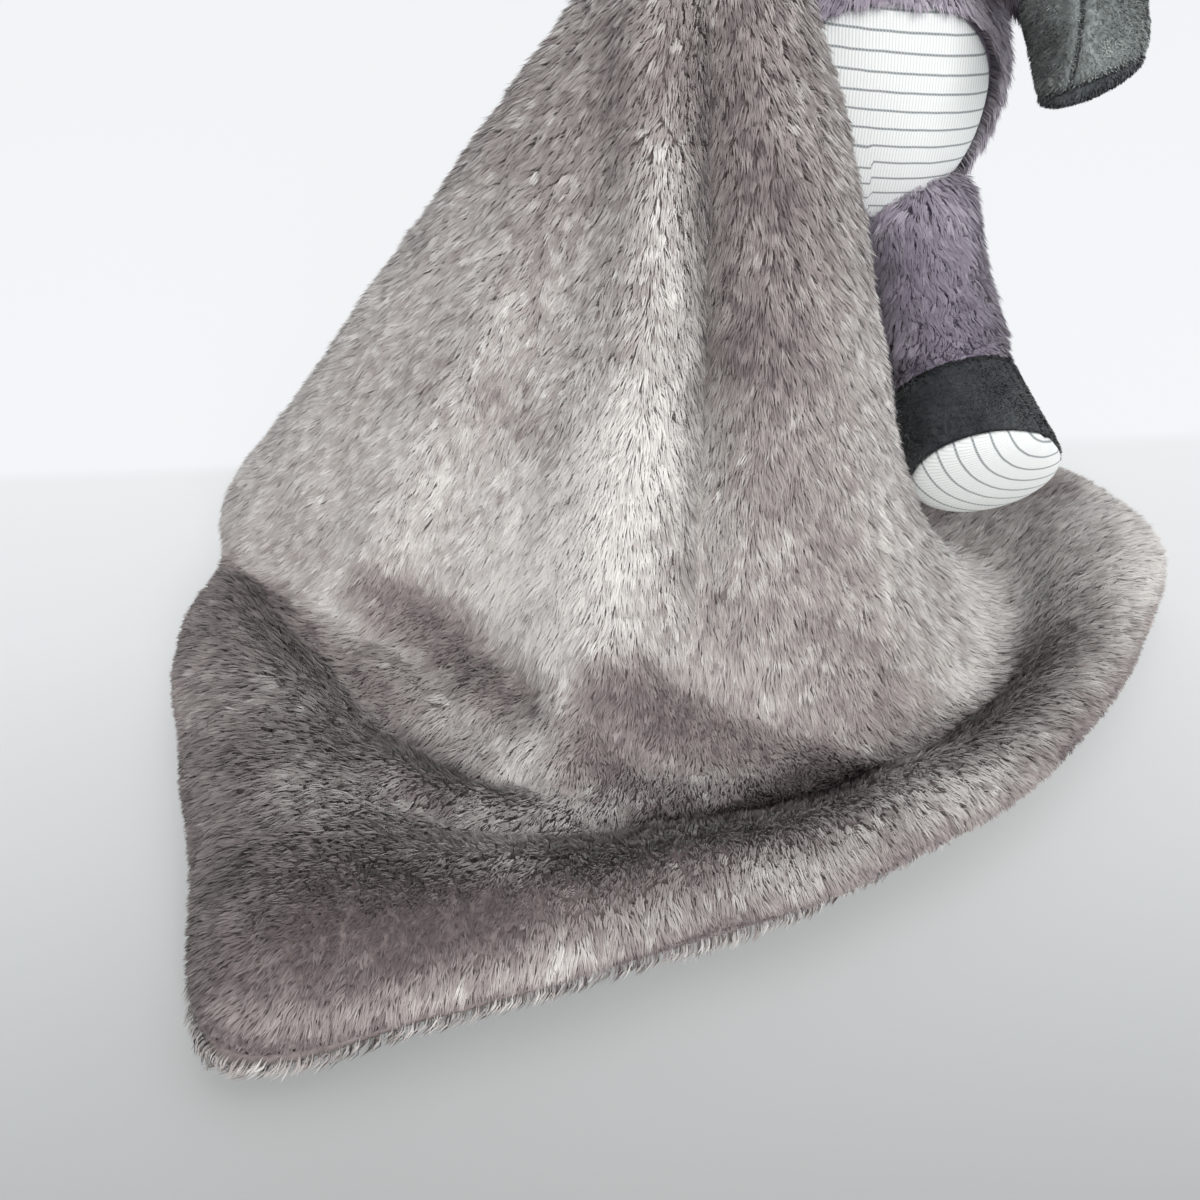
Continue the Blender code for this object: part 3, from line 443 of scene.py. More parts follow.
def wavy(places, wavelength, seed):
    """Smooth noise of about -1 to 1 over places, from seven waves."""
    rng = np.random.default_rng(seed)
    ways = unit(rng.normal(size=(7, 3))) * rng.uniform(0.6, 1.5, (7, 1)) * 2 * math.pi / wavelength
    return np.sin(places @ ways.T + rng.uniform(0, 2 * math.pi, 7)).mean(axis=1) * 1.7


def nearest_of(points, places):
    """Number of the point nearest to each place."""
    tree = kdtree.KDTree(len(points))
    for i, point in enumerate(points):
        tree.insert(point, i)
    tree.balance()
    return [tree.find(place)[1] for place in places]


def fuzzy(places, centre, radius):
    """Share of 1 at a centre, falling softly to 0 past a radius."""
    return np.exp(-((np.linalg.norm(places - np.array(centre), axis=1) / radius) ** 2))


# Pile

SWIRL_SIZE = 0.012
LENGTH_WAVE = 0.006
PILE_FLOOR = 0.0006


def scatter(mesh, count, share, fields, rng):
    """Random places over a mesh, spread by area times share, with each field mixed there."""
    mesh.calc_loop_triangles()
    corners = np.empty(len(mesh.loop_triangles) * 3, np.int32)
    mesh.loop_triangles.foreach_get("vertices", corners)
    corners = corners.reshape(-1, 3)
    places = places_of(mesh)
    a, b, c = (places[corners[:, i]] for i in range(3))
    area = np.linalg.norm(np.cross(b - a, c - a), axis=1) / 2
    weight = area * share[corners].mean(axis=1)
    chosen = rng.choice(len(corners), count, p=weight / weight.sum())
    first, second = rng.random((2, count))
    over = first + second > 1
    first[over], second[over] = 1 - first[over], 1 - second[over]
    mix = np.stack([1 - first - second, first, second], axis=1)
    read = corners[chosen]
    got = [(field[read] * mix.reshape(*mix.shape, *[1] * (field.ndim - 1))).sum(axis=1) for field in fields]
    return (places[read] * mix[:, :, None]).sum(axis=1), got, area.sum()


def turned(vectors, axes, angles):
    """Vectors turned round unit axes."""
    cosines, sines = np.cos(angles)[:, None], np.sin(angles)[:, None]
    along = axes * (vectors * axes).sum(axis=1, keepdims=True)
    return vectors * cosines + np.cross(axes, vectors) * sines + along * (1 - cosines)


def grow(name, skin, body, slot, look, pile, comb, tone, seed, **more):
    """Tufted pile on a skin: fibres that start upright, bend the way they are combed and gather into tufts.
    Other settings: length_share, share, curl, gather, swirl, stray, lean, tuft, floor and parts."""
    rng = np.random.default_rng(seed)
    count, length, width = PILES[pile]
    mesh = skin.data

    def full(value):
        return np.broadcast_to(np.asarray(value, float), (len(mesh.vertices),)).copy()

    length = length * full(more.get("length_share", 1.0))
    share = full(more.get("share", 1.0))
    fields = (tone, length, more.get("curl", 0.0), more.get("gather", 0.62))
    fields = [normals_of(mesh), comb, *(full(field) for field in fields)]
    roots, (up, way, shade, long, curl, gather), area = scatter(mesh, count, share, fields, rng)
    up = unit(up)
    way = unit(way - up * (way * up).sum(axis=1, keepdims=True))
    swirl = wavy(roots, SWIRL_SIZE, seed) * math.radians(more.get("swirl", 16))
    stray = rng.normal(0, math.radians(more.get("stray", 9)), count) * (1 + curl * 0.6)
    way = turned(way, up, swirl * (1 + curl * 0.4) + stray)
    low, high = (math.radians(angle) for angle in more.get("lean", (22, 66)))
    lean = rng.normal(1, 0.10, count)[:, None] * (1 - curl[:, None] * 0.28)
    start = up * np.cos(low * lean) + way * np.sin(low * lean)
    finish = up * np.cos(high * lean) + way * np.sin(high * lean)
    long = long * rng.uniform(0.72, 1.12, count) * (1 + 0.12 * wavy(roots, LENGTH_WAVE, seed + 5))
    middle = roots + start * (long * 0.48)[:, None]
    tips = middle + finish * (long * 0.52)[:, None]
    tufts = int(area * share.mean() / more.get("tuft", 0.0030) ** 2)
    centres = rng.choice(count, max(2, min(count // 3, tufts)), replace=False)
    nearest = np.array(nearest_of(roots[centres], roots))
    tightness = rng.uniform(0.35, 1.0, len(centres)) * gather[centres]
    pull = tightness[nearest][:, None]
    lead = centres[nearest]
    tips += (tips[lead] - tips) * pull
    middle += (middle[lead] - middle) * pull * 0.45
    shade = shade + rng.normal(0, 0.06, count) + rng.normal(0, 0.10, len(centres))[nearest] * (1 - 0.3 * curl)
    floor = more.get("floor")
    if floor is not None:
        tips[:, 2] = np.maximum(tips[:, 2], floor)
        middle[:, 2] = np.maximum(middle[:, 2], floor)
    along = unit(tips - roots)
    side = turned(unit(np.cross(up, along)), along, rng.normal(0, 0.55, count))
    raised = unit(up - along * (up * along).sum(axis=1, keepdims=True))
    soft = unit(up * 0.55 + raised * 0.45)
    side *= np.where((np.cross(side, along) * soft).sum(axis=1, keepdims=True) < 0, -1, 1)
    half = (np.broadcast_to(width, (count,)) * rng.uniform(0.75, 1.2, count) / 2)[:, None]
    verts = np.stack([roots, middle - side * half, middle + side * half, tips], axis=1)
    parts = more.get("parts", 1)
    order = np.arange(count)
    if parts > 1:
        order = np.argsort(np.arctan2(roots[:, 0], APEX_BACK - roots[:, 1]), kind="stable")
    made = []
    for part, chosen in enumerate(np.array_split(order, parts)):
        label = f"{name}_{part + 1}" if parts > 1 else name
        piece = fibres(label, verts[chosen], soft[chosen], shade[chosen], look)
        made.append(dress(piece, body, slot))
    return made


def fibres(name, verts, soft, shade, look):
    """One mesh of flat fibres, pointed at both ends and bent in the middle, each two triangles."""
    count = len(verts)
    mesh = bpy.data.meshes.new(name)
    mesh.vertices.add(count * 4)
    mesh.vertices.foreach_set("co", verts.astype(np.float32).ravel())
    corners = (np.arange(count)[:, None] * 4 + np.array([0, 2, 1, 1, 2, 3])).ravel()
    mesh.loops.add(count * 6)
    mesh.loops.foreach_set("vertex_index", corners.astype(np.int32))
    mesh.polygons.add(count * 2)
    starts = np.arange(count * 2) * 3
    mesh.polygons.foreach_set("loop_start", starts.astype(np.int32))
    mesh.update(calc_edges=True)
    layer = mesh.uv_layers.new(name="OFBake")
    heights = np.tile(np.array([0.02, 0.5, 0.5, 0.5, 0.5, 0.98]), count)
    tones = np.repeat(np.clip(shade, 0.02, 0.98), 6)
    layer.uv.foreach_set("vector", np.stack([tones, heights], axis=1).astype(np.float32).ravel())
    mesh.shade_smooth()
    mesh.normals_split_custom_set_from_vertices(np.repeat(soft, 4, axis=0).astype(np.float32))
    mesh.materials.append(look)
    thing = bpy.data.objects.new(name, mesh)
    bpy.context.scene.collection.objects.link(thing)
    return thing


# Blanket


def eased(places, values, wanted):
    """Cubic curve through values at uneven places, read at the wanted places."""
    places, values, wanted = (np.asarray(list(x), float) for x in (places, values, wanted))
    steps = np.diff(places)
    slopes = np.diff(values, axis=0) / steps.reshape(-1, *[1] * (values.ndim - 1))
    tangents = np.concatenate([slopes[:1], (slopes[:-1] + slopes[1:]) / 2, slopes[-1:]])
    at = np.clip(np.searchsorted(places, wanted, side="right") - 1, 0, len(steps) - 1)
    shape = (-1, *[1] * (values.ndim - 1))
    step = steps[at].reshape(shape)
    t = ((wanted - places[at]) / steps[at]).reshape(shape)
    return (
        values[at] * (2 * t**3 - 3 * t**2 + 1)
        + tangents[at] * step * (t**3 - 2 * t**2 + t)
        + values[at + 1] * (3 * t**2 - 2 * t**3)
        + tangents[at + 1] * step * (t**3 - t**2)
    )


def blanket_profile(foot, hem, rise, foot_height, hem_height, waist):
    """Radius and height at the profile's points, from the stitched point down and out to the hem."""
    low = foot_height + PLY + SEAM_GAP / 2 - FLAT_CUT
    edge = hem_height + HEM_PLY + SEAM_GAP / 2 - FLAT_CUT
    points = []
    for share in SLOPE_SHARES:
        drawn_in = waist * share**3 * (1 - share) / (0.75**3 * 0.25)
        radius = APEX_RADIUS + (foot - APEX_RADIUS) * share - drawn_in
        points.append((radius, APEX_HEIGHT + (low - APEX_HEIGHT) * share))
    hanging = min(1, foot_height / HANGING_HEIGHT)
    for out, up in BRIM_SHARES:
        base = low + (edge - low) * out ** (2 - hanging)
        points.append((foot + (hem - foot) * out, base + rise * up))
    return points


def rounded(profile, slope_rows, brim_rows):
    """Even places down the slope and out over the brim of a profile, once its folds are rounded."""
    lengths = np.concatenate([[0], np.cumsum(np.linalg.norm(np.diff(profile, axis=0), axis=1))])
    fine = np.linspace(0, lengths[-1], FINE_PLACES)
    line = eased(lengths, profile, fine)
    steps = (line[1:] + line[:-1]) / 2 * (fine[1] - fine[0])
    total = np.concatenate([np.zeros((1, 2)), np.cumsum(steps, axis=0)])
    reach = np.minimum(np.minimum(fine, fine[-1] - fine), FOLD_REACH)[1:-1]
    for axis in range(2):
        high = np.interp(fine[1:-1] + reach, fine, total[:, axis])
        low = np.interp(fine[1:-1] - reach, fine, total[:, axis])
        line[1:-1, axis] = (high - low) / (2 * reach)
    foot = lengths[len(SLOPE_SHARES) - 1]
    over_brim = np.linspace(foot, lengths[-1], brim_rows + 1)[1:]
    places = np.concatenate([np.linspace(0, foot, slope_rows), over_brim])
    return np.stack([np.interp(places, fine, line[:, axis]) for axis in range(2)], axis=1)


def blanket_middle():
    """Places on the sheet between the two layers: rows down from the top, columns round."""
    table = np.array(BLANKET_SHARES, float)
    table[:, 1:] *= BLANKET_SIDE
    between = np.linspace(0, len(table) - 1, COLUMNS)
    azimuths = np.interp(between, range(len(table)), table[:, 0])
    stations = eased(table[:, 0], table[:, 1:], azimuths)
    grid = np.empty((SLOPE_ROWS + BRIM_ROWS, COLUMNS, 3))
    for column, (azimuth, station) in enumerate(zip(azimuths, stations)):
        radius, height = rounded(np.array(blanket_profile(*station)), SLOPE_ROWS, BRIM_ROWS).T
        angle = math.radians(azimuth)
        across = radius * math.sin(angle)
        forward = math.cos(angle) > 0
        depth = PLEAT_DEPTH * np.exp(-(((across + PLEAT_OFFSET) / PLEAT_WIDTH) ** 2)) if forward else 0
        share = np.clip((APEX_HEIGHT - height) / APEX_HEIGHT, 0, 1)
        radius = radius - depth * np.sin(math.pi * share) ** 1.5
        if forward:
            off = across + PLEAT_OFFSET + CREASE_DRIFT * (0.14 - height)
            fold = np.exp(-((off / np.where(off < 0, CREASE_STEEP, CREASE_EASY)) ** 2))
            lobe = np.exp(-(((off + CREASE_LOBE) / CREASE_LOBE) ** 2))
            held = np.clip((height - 0.045) / 0.06, 0, 1) * np.clip((APEX_HEIGHT - height) / 0.03, 0, 1)
            radius = radius + (CREASE_RISE * lobe - CREASE_DEPTH * fold) * held
        drawn = np.clip((APEX_HEIGHT - height) / GATHER_DEPTH, 0, 1)
        radius = radius * (GATHER_SHARE + (1 - GATHER_SHARE) * drawn**2 * (3 - 2 * drawn))
        puckers = np.exp(-(((APEX_HEIGHT - height - GATHER_DEPTH / 2) / GATHER_DEPTH) ** 2))
        radius = radius + PUCKER * math.cos(PUCKERS * angle) * puckers
        grid[:, column, 0] = radius * math.sin(angle)
        grid[:, column, 1] = APEX_BACK - radius * math.cos(angle)
        grid[:, column, 2] = height
    return grid


def bisectors(grid):
    steps = np.diff(grid, axis=0)
    steps /= np.linalg.norm(steps, axis=2, keepdims=True)
    return np.concatenate([steps[:1], steps[1:] + steps[:-1], steps[-1:]])


def grid_normals(grid):
    across = bisectors(grid.transpose(1, 0, 2)).transpose(1, 0, 2)
    return unit(np.cross(bisectors(grid), across))


# Soft folds of the cone's foot: a line from one end to the other, its reach and how far the cloth moves out.
FOLDS = (
    ((-0.108, 0.072, 0.030), (-0.074, 0.040, 0.022), 0.0065, 0.0045),
    ((-0.074, 0.040, 0.022), (-0.050, 0.012, 0.018), 0.0070, 0.0050),
    ((-0.092, 0.074, 0.040), (-0.056, 0.038, 0.032), 0.0095, -0.0065),
    ((-0.036, 0.028, 0.050), (0.000, 0.008, 0.026), 0.0070, 0.0050),
    ((-0.044, 0.026, 0.038), (-0.022, 0.008, 0.022), 0.0080, -0.0050),
    ((-0.014, 0.030, 0.040), (0.026, 0.020, 0.026), 0.0090, -0.0050),
    ((0.045, 0.050, 0.050), (0.040, 0.024, 0.024), 0.0140, 0.0035),
    ((-0.062, 0.090, 0.125), (-0.100, 0.084, 0.056), 0.0130, 0.0035),
)

# Where the cloth bridges the crease between the cone's foot and the brim: a line, its reach and the rise.
BRIDGES = (
    ((-0.132, 0.086, 0.010), (-0.103, 0.060, 0.008), 0.0140, 0.0100),
    ((-0.103, 0.060, 0.008), (-0.083, 0.040, 0.007), 0.0140, 0.0130),
    ((-0.083, 0.040, 0.007), (-0.068, 0.020, 0.007), 0.0140, 0.0110),
    ((-0.094, 0.010, 0.010), (-0.050, 0.000, 0.008), 0.0140, 0.0120),
    ((-0.050, 0.001, 0.007), (0.004, 0.005, 0.006), 0.0125, 0.0095),
    ((0.004, 0.005, 0.006), (0.036, 0.015, 0.006), 0.0125, 0.0085),
    ((0.036, 0.015, 0.006), (0.068, 0.034, 0.006), 0.0120, 0.0060),
    ((0.068, 0.034, 0.006), (0.092, 0.060, 0.006), 0.0120, 0.0050),
)


def beside(places, start, end, reach, power=2):
    """Share of 1 on a line between two points, falling softly to 0 past its reach."""
    start, end = np.array(start), np.array(end)
    along = end - start
    share = np.clip((places - start) @ along / (along @ along), 0, 1)
    apart = np.linalg.norm(places - start - share[:, None] * along, axis=1)
    return np.exp(-((apart / reach) ** power))


def cloth_grid(name, places, look):
    """A sheet of cloth over a table of places."""
    rows, columns = places.shape[:2]
    work = bmesh.new()
    bmesh.ops.create_grid(work, x_segments=columns - 1, y_segments=rows - 1, size=1)
    for vert in work.verts:
        column = round((vert.co.x + 1) / 2 * (columns - 1))
        row = round((vert.co.y + 1) / 2 * (rows - 1))
        vert.co = places[row, column]
    return keep_mesh(name, work, look)


def by_vertex(thing, table, sheet):
    """A table's values in the order of a cloth's vertices."""
    points = sheet.reshape(-1, 3)
    order = nearest_of(points, [vert.co for vert in thing.data.vertices])
    return table.reshape(len(points), -1)[order]


def blanket():
    """Both layers' cloths, each with every point's way down, distance to the hem and share of the brim."""
    middle = blanket_middle()
    normals = grid_normals(middle)
    flat = middle.reshape(-1, 3)
    for start, end, reach, out in FOLDS:
        middle += normals * (beside(flat, start, end, reach) * out).reshape(*middle.shape[:2], 1)
    rises = [beside(flat, start, end, reach) * up for start, end, reach, up in BRIDGES]
    middle[:, :, 2] += np.max(rises, axis=0).reshape(middle.shape[:2])
    normals = grid_normals(middle)
    brim = np.linalg.norm(middle[-1, :, :2] - middle[SLOPE_ROWS - 1, :, :2], axis=1)
    lying = np.clip(brim / FULL_BRIM, 0, 1) * (middle[-1, :, 2] < HEM_PLY + PLY)
    out = np.linspace(0, 1, BRIM_ROWS + 1)[1:]
    fuller = np.concatenate([np.zeros(SLOPE_ROWS), np.interp(out, HEM_PLACES, HEM_SHARES)])
    lift = PLY - PILE_DEPTH + fuller[:, None] * lying[None, :] * (HEM_PLY - PLY)
    lift[-1] = SEAM_GAP
    ends = np.minimum(np.arange(COLUMNS), np.arange(COLUMNS)[::-1])
    lift = lift * np.sqrt(1 - (1 - np.clip(ends / 4, 0, 1)) ** 2)[None, :]
    lift = np.maximum(lift, SEAM_GAP)
    ripple = wavy(flat, 0.030, 11).reshape(middle.shape[:2]) * RIPPLE
    down = bisectors(middle)
    steps = np.linalg.norm(np.diff(middle, axis=0), axis=2)[::-1].cumsum(axis=0)[::-1]
    to_hem = np.concatenate([steps, np.zeros((1, COLUMNS))])[:, :, None]
    brim = np.clip((np.arange(SLOPE_ROWS + BRIM_ROWS) - SLOPE_ROWS + 3) / 4, 0, 1)
    brim = np.broadcast_to(brim[:, None, None], to_hem.shape)
    pieces = []
    for side, name in ((1, "top"), (-1, "under")):
        rise = (lift + ripple * (lift > PLY / 4)) * side
        sheet = middle + normals * rise[:, :, None]
        outward = unit((middle[-1] - middle[-8]) * np.array((1, 1, 0)))[None] * lying[None, :, None]
        drawn, reach = HEM_TUCK
        sheet -= outward * drawn * np.exp(-((to_hem / reach) ** 2))
        up, reach = HEM_LIFT
        sheet[:, :, 2] += (up * np.exp(-((to_hem / reach) ** 2)) * lying[None, :, None])[:, :, 0]
        if side < 0:
            out, place, reach = UNDER_LIP
            sheet += outward * out * np.exp(-(((to_hem - place) / reach) ** 2))
            sheet[:, :, 2] = np.maximum(sheet[:, :, 2], UNDER_FLOOR)
        cloth = cloth_grid(f"blanket_{name}_cloth", sheet, GREY_BACK)
        ways = normals_of(cloth.data)
        order = by_vertex(cloth, np.concatenate([down, normals, to_hem, brim], axis=2), sheet)
        if (ways * order[:, 3:6]).sum() * side < 0:
            cloth.data.flip_normals()
        thicken(cloth, BACK_CLOTH)
        pieces.append((cloth, order[:, :3], order[:, 6], order[:, 7]))
    return pieces


# Patches of nap brushed another way, painted shade in the folds' dents and painted light on creases and
# flanks in shade: a line from end to end, its reach and the change of tone.
NAP_AND_PAINTED_LIGHT_PATCHES = (
    ((-0.101, 0.079, 0.038), (-0.062, 0.040, 0.032), 0.0122, -0.48),
    ((-0.032, 0.022, 0.040), (0.022, 0.010, 0.022), 0.0145, -0.62),
    ((-0.040, 0.013, 0.018), (-0.008, -0.006, 0.012), 0.0130, -0.48),
    ((0.006, -0.002, 0.014), (0.034, 0.008, 0.012), 0.0100, -0.40),
    ((-0.125, 0.040, 0.022), (-0.060, -0.008, 0.014), 0.0260, 0.20),
    ((-0.060, -0.008, 0.014), (0.050, 0.008, 0.014), 0.0160, 0.42),
    ((-0.112, -0.008, 0.036), (-0.060, -0.022, 0.032), 0.0140, 0.34),
    ((-0.126, -0.060, 0.024), (-0.110, -0.050, 0.028), 0.0300, -0.10),
    ((-0.012, -0.034, 0.022), (0.006, -0.034, 0.022), 0.0090, -0.12),
    ((-0.014, 0.052, 0.080), (0.002, 0.031, 0.046), 0.0120, -0.16),
    ((0.026, 0.058, 0.092), (0.030, 0.050, 0.076), 0.0140, -0.18),
    ((0.004, 0.094, 0.205), (0.006, 0.068, 0.125), 0.0150, -0.28),
    ((0.006, 0.068, 0.125), (0.010, 0.050, 0.088), 0.0130, -0.26),
    ((0.020, 0.080, 0.160), (0.028, 0.062, 0.120), 0.0140, -0.20),
    ((-0.030, 0.094, 0.185), (-0.050, 0.092, 0.140), 0.0120, -0.14),
    ((-0.062, 0.080, 0.105), (-0.044, 0.070, 0.100), 0.0100, -0.20),
    ((-0.082, 0.094, 0.130), (-0.112, 0.096, 0.070), 0.0240, -0.05),
    ((-0.016, 0.084, 0.180), (-0.014, 0.074, 0.120), 0.0060, 0.25),
    ((-0.052, 0.050, 0.062), (-0.032, 0.054, 0.090), 0.0240, 0.26),
    ((-0.104, 0.070, 0.026), (-0.054, 0.014, 0.012), 0.0055, 0.04),
    ((0.028, 0.044, 0.056), (0.040, 0.030, 0.024), 0.0210, -0.32),
    ((0.074, 0.050, 0.012), (0.086, 0.070, 0.010), 0.0090, 0.22),
    ((-0.104, -0.048, 0.033), (-0.060, -0.044, 0.031), 0.0110, -0.34),
    ((0.104, 0.086, 0.018), (0.148, 0.126, 0.024), 0.0225, 0.58),
    ((0.092, 0.090, 0.012), (0.102, 0.138, 0.014), 0.0200, 0.32),
)


def blanket_tones(places, to_hem, brim):
    """Tone of the nap: pale where it lies smooth, darker where it is brushed up, with painted shade in dents,
    partly over the brim and along the hem, painted light on shaded creases and a painted highlight along the
    rim's outer turn.
    """
    tone = 0.74 + 0.08 * wavy(places, 0.060, 21) + 0.035 * wavy(places, 0.022, 22)
    # Darker toward the top of the cone
    tone -= 0.20 * np.clip((places[:, 2] - 0.11) / 0.07, 0, 1)
    for start, end, reach, change in NAP_AND_PAINTED_LIGHT_PATCHES:
        tone += change * beside(places, start, end, reach, 3)
    # Darker over the brim: partly its curled nap, partly painted shade from the cone
    tone -= brim * (0.41 + 0.05 * wavy(places, 0.030, 23))
    # Painted highlight along the rim's outer turn, faded on the left side, which lies in shade
    turn_highlight_side = np.clip((places[:, 0] + 0.150) / 0.060, 0.10, 1)
    turn_highlight = np.exp(-(((to_hem - 0.0145) / 0.0060) ** 2))
    tone += brim * turn_highlight_side * (0.36 + 0.08 * wavy(places, 0.012, 24)) * turn_highlight
    # Painted shade along the hem where it lies low, most on the left side
    shaded = np.clip((0.06 - places[:, 0]) / 0.06, 0.35, 1) * (places[:, 2] < 0.03)
    tone -= 0.50 * np.exp(-((to_hem / 0.0080) ** 2)) * shaded
    return np.clip(tone, 0.04, 0.97)


def pile_blanket():
    (top, top_way, top_hem, top_brim), (under, under_way, under_hem, under_brim) = blanket()
    places = places_of(top.data)
    azimuth = np.degrees(np.arctan2(places[:, 0], APEX_BACK - places[:, 1]))
    tone = blanket_tones(places, top_hem, top_brim)
    curl = np.clip((0.55 - tone) / 0.30, 0, 1) * np.clip((0.075 - places[:, 2]) / 0.02, 0, 1)
    near_top = np.clip((APEX_HEIGHT - places[:, 2]) / 0.012, 0.55, 1)
    near_hem = np.clip(top_hem / 0.012, np.where(places[:, 2] < 0.03, 0.30, 0.65), 1)
    high = np.clip((places[:, 2] - 0.09) / 0.08, 0, 1)
    pile = grow(
        "blanket_top_pile",
        top,
        "body",
        "grey_plush",
        GREY_PILE,
        "blanket_top",
        top_way,
        tone,
        41,
        length_share=near_top * near_hem * (1 - 0.36 * curl),
        curl=curl,
        share=(1.0 - 0.4 * (np.abs(azimuth) > 105)) * np.clip(top_hem / 0.0015, 0.40, 1),
        parts=5,
        floor=PILE_FLOOR,
        tuft=0.0020,
        gather=0.26 + 0.34 * high + 0.20 * top_brim,
    )
    dress(top, "body", "grey_plush", "blanket_top_layer")
    places = places_of(under.data)
    low = (places[:, 2] < 0.006) & (normals_of(under.data)[:, 2] < -0.3)
    pile = grow(
        "blanket_under_pile",
        under,
        "body",
        "grey_plush",
        GREY_PILE,
        "blanket_under",
        under_way,
        blanket_tones(places, under_hem + 0.03, under_brim) * 0.5 + 0.44,
        42,
        share=np.where(under_hem < 0.012, 3.0, np.where(low, 0.05, 1.0)),
        floor=PILE_FLOOR,
        tuft=0.0028,
        gather=0.50,
        stray=14,
    )
    dress(under, "body", "grey_plush", "blanket_under_layer")


# Toy


def toy_place(x, y, z):
    return BODY_CENTRE + Matrix.Rotation(TOY_LEAN, 3, "Y") @ Vector((x, y, z))


def body_surface(direction, out):
    x, y, z = direction
    share = max(0, z)
    blend = share**2 * (3 - 2 * share)
    width = BODY_HALF_WIDTH + (NECK_RADIUS - BODY_HALF_WIDTH) * blend + out
    depth = BODY_HALF_DEPTH + (NECK_RADIUS - BODY_HALF_DEPTH) * blend + out
    return toy_place(width * x, depth * y, (BODY_HALF_HEIGHT + out) * z)


def head_surface(direction, out):
    x, y, z = direction
    angle = math.acos(max(-1, min(1, direction.dot(MUZZLE_POLE))))
    reach = MUZZLE_REACH * math.exp(-((angle / math.radians(MUZZLE_SPREAD)) ** 3))
    skull = Vector(((HEAD_HALF_WIDTH + out) * x, (HEAD_HALF_DEPTH + out) * y, (HEAD_HALF_HEIGHT + out) * z))
    place = skull + MUZZLE_POLE * reach
    return toy_place(place.x, place.y - HEAD_FORWARD, place.z + HEAD_RISE)


def ring_of(height, rings):
    """Number of a sphere's ring of points, counted from its top."""
    return round(math.acos(max(-1, min(1, height))) / math.pi * rings)


def pole_axes(pole):
    side = Vector((0, 0, 1)).cross(pole).normalized() if abs(pole.z) < 0.99 else Vector((1, 0, 0))
    return side, pole.cross(side)


def ball(segments, rings):
    """A sphere of points. Its faces are put in order, because the operator gives them in another one each run
    and the pile's random places follow the faces."""
    work = bmesh.new()
    bmesh.ops.create_uvsphere(work, u_segments=segments, v_segments=rings, radius=1)

    def number(face):
        centre = face.calc_center_median()
        turn = round(math.atan2(centre.y, centre.x) / math.pi * segments)
        return ring_of(centre.normalized().z, 2 * rings) * 1000 + turn

    work.faces.sort(key=number)
    return work


def shell(name, surface, pole, seam_angle, edge, panel_share, groove):
    """A closed shell round a pole, sunk along its seam, and each point's ring. The front panel is inset by a
    share of the fur's inset."""
    work = ball(96, SHELL_RINGS)
    side, up = pole_axes(pole)
    numbers = []
    for vert in work.verts:
        ring = ring_of(vert.co.z, SHELL_RINGS)
        turn = math.atan2(vert.co.y, vert.co.x)
        limit = seam_angle * edge(turn)
        step = ring - SHELL_SEAM
        if step <= 0:
            angle = math.radians(limit * ring / SHELL_SEAM)
        else:
            angle = math.radians(limit + (180 - limit) * step / (SHELL_RINGS - SHELL_SEAM))
        direction = pole * math.cos(angle) + (side * math.cos(turn) + up * math.sin(turn)) * math.sin(angle)
        inset = FUR_INSET * (panel_share if step <= 0 else 1.0)
        vert.co = surface(direction, -inset - groove * math.exp(-((step / 1.2) ** 2)))
        numbers.append(ring)
    face_out(work)
    return keep_mesh(name, work, FUR_BACK), np.array(numbers)


def split(thing, numbers, ranges):
    """Cuts a ringed shell into patches between ring numbers, and removes the shell."""
    made = []
    for name, first, last, look in ranges:
        work = bmesh.new()
        work.from_mesh(thing.data)
        work.verts.ensure_lookup_table()
        doomed = [v for v in work.verts if not first <= numbers[v.index] <= last]
        kept = numbers[[v.index for v in work.verts if first <= numbers[v.index] <= last]]
        bmesh.ops.delete(work, geom=doomed, context="VERTS")
        patch = keep_mesh(name, work, look)
        made.append((patch, kept))
    bpy.data.objects.remove(thing)
    return made


def set_groove_shade(thing, values):
    """Keeps how near each point is to a seam, 0 to 1, for the painted shade in the velour's grooves."""
    layer = thing.data.attributes.new("seam", "FLOAT", "POINT")
    layer.data.foreach_set("value", np.asarray(values, np.float32))


def set_knit(thing, across, along):
    """Lays the knit's map out in metres."""
    layer = thing.data.uv_layers.new(name="Knit")
    corners = np.empty(len(thing.data.loops), np.int32)
    thing.data.loops.foreach_get("vertex_index", corners)
    flat = np.stack([across[corners], along[corners]], axis=1)
    layer.uv.foreach_set("vector", flat.astype(np.float32).ravel())


def belly_edge(turn):
    """The belly panel is a rounded square, wider than it is tall."""
    across, tall = abs(math.cos(turn)), abs(math.sin(turn)) / 0.73
    return (across**2.5 + tall**2.5) ** -0.4


def round_edge(turn):
    """The muzzle's panel is round."""
    return 1


def toward(places, way):
    """The same way at every place."""
    return np.broadcast_to(np.array(way, float), places.shape)


def cover(piece, thickness, body, slot, *nodes):
    """Makes a patch a padded cover that stands for solids."""
    thicken(piece, thickness)
    dress(piece, body, slot, *nodes)


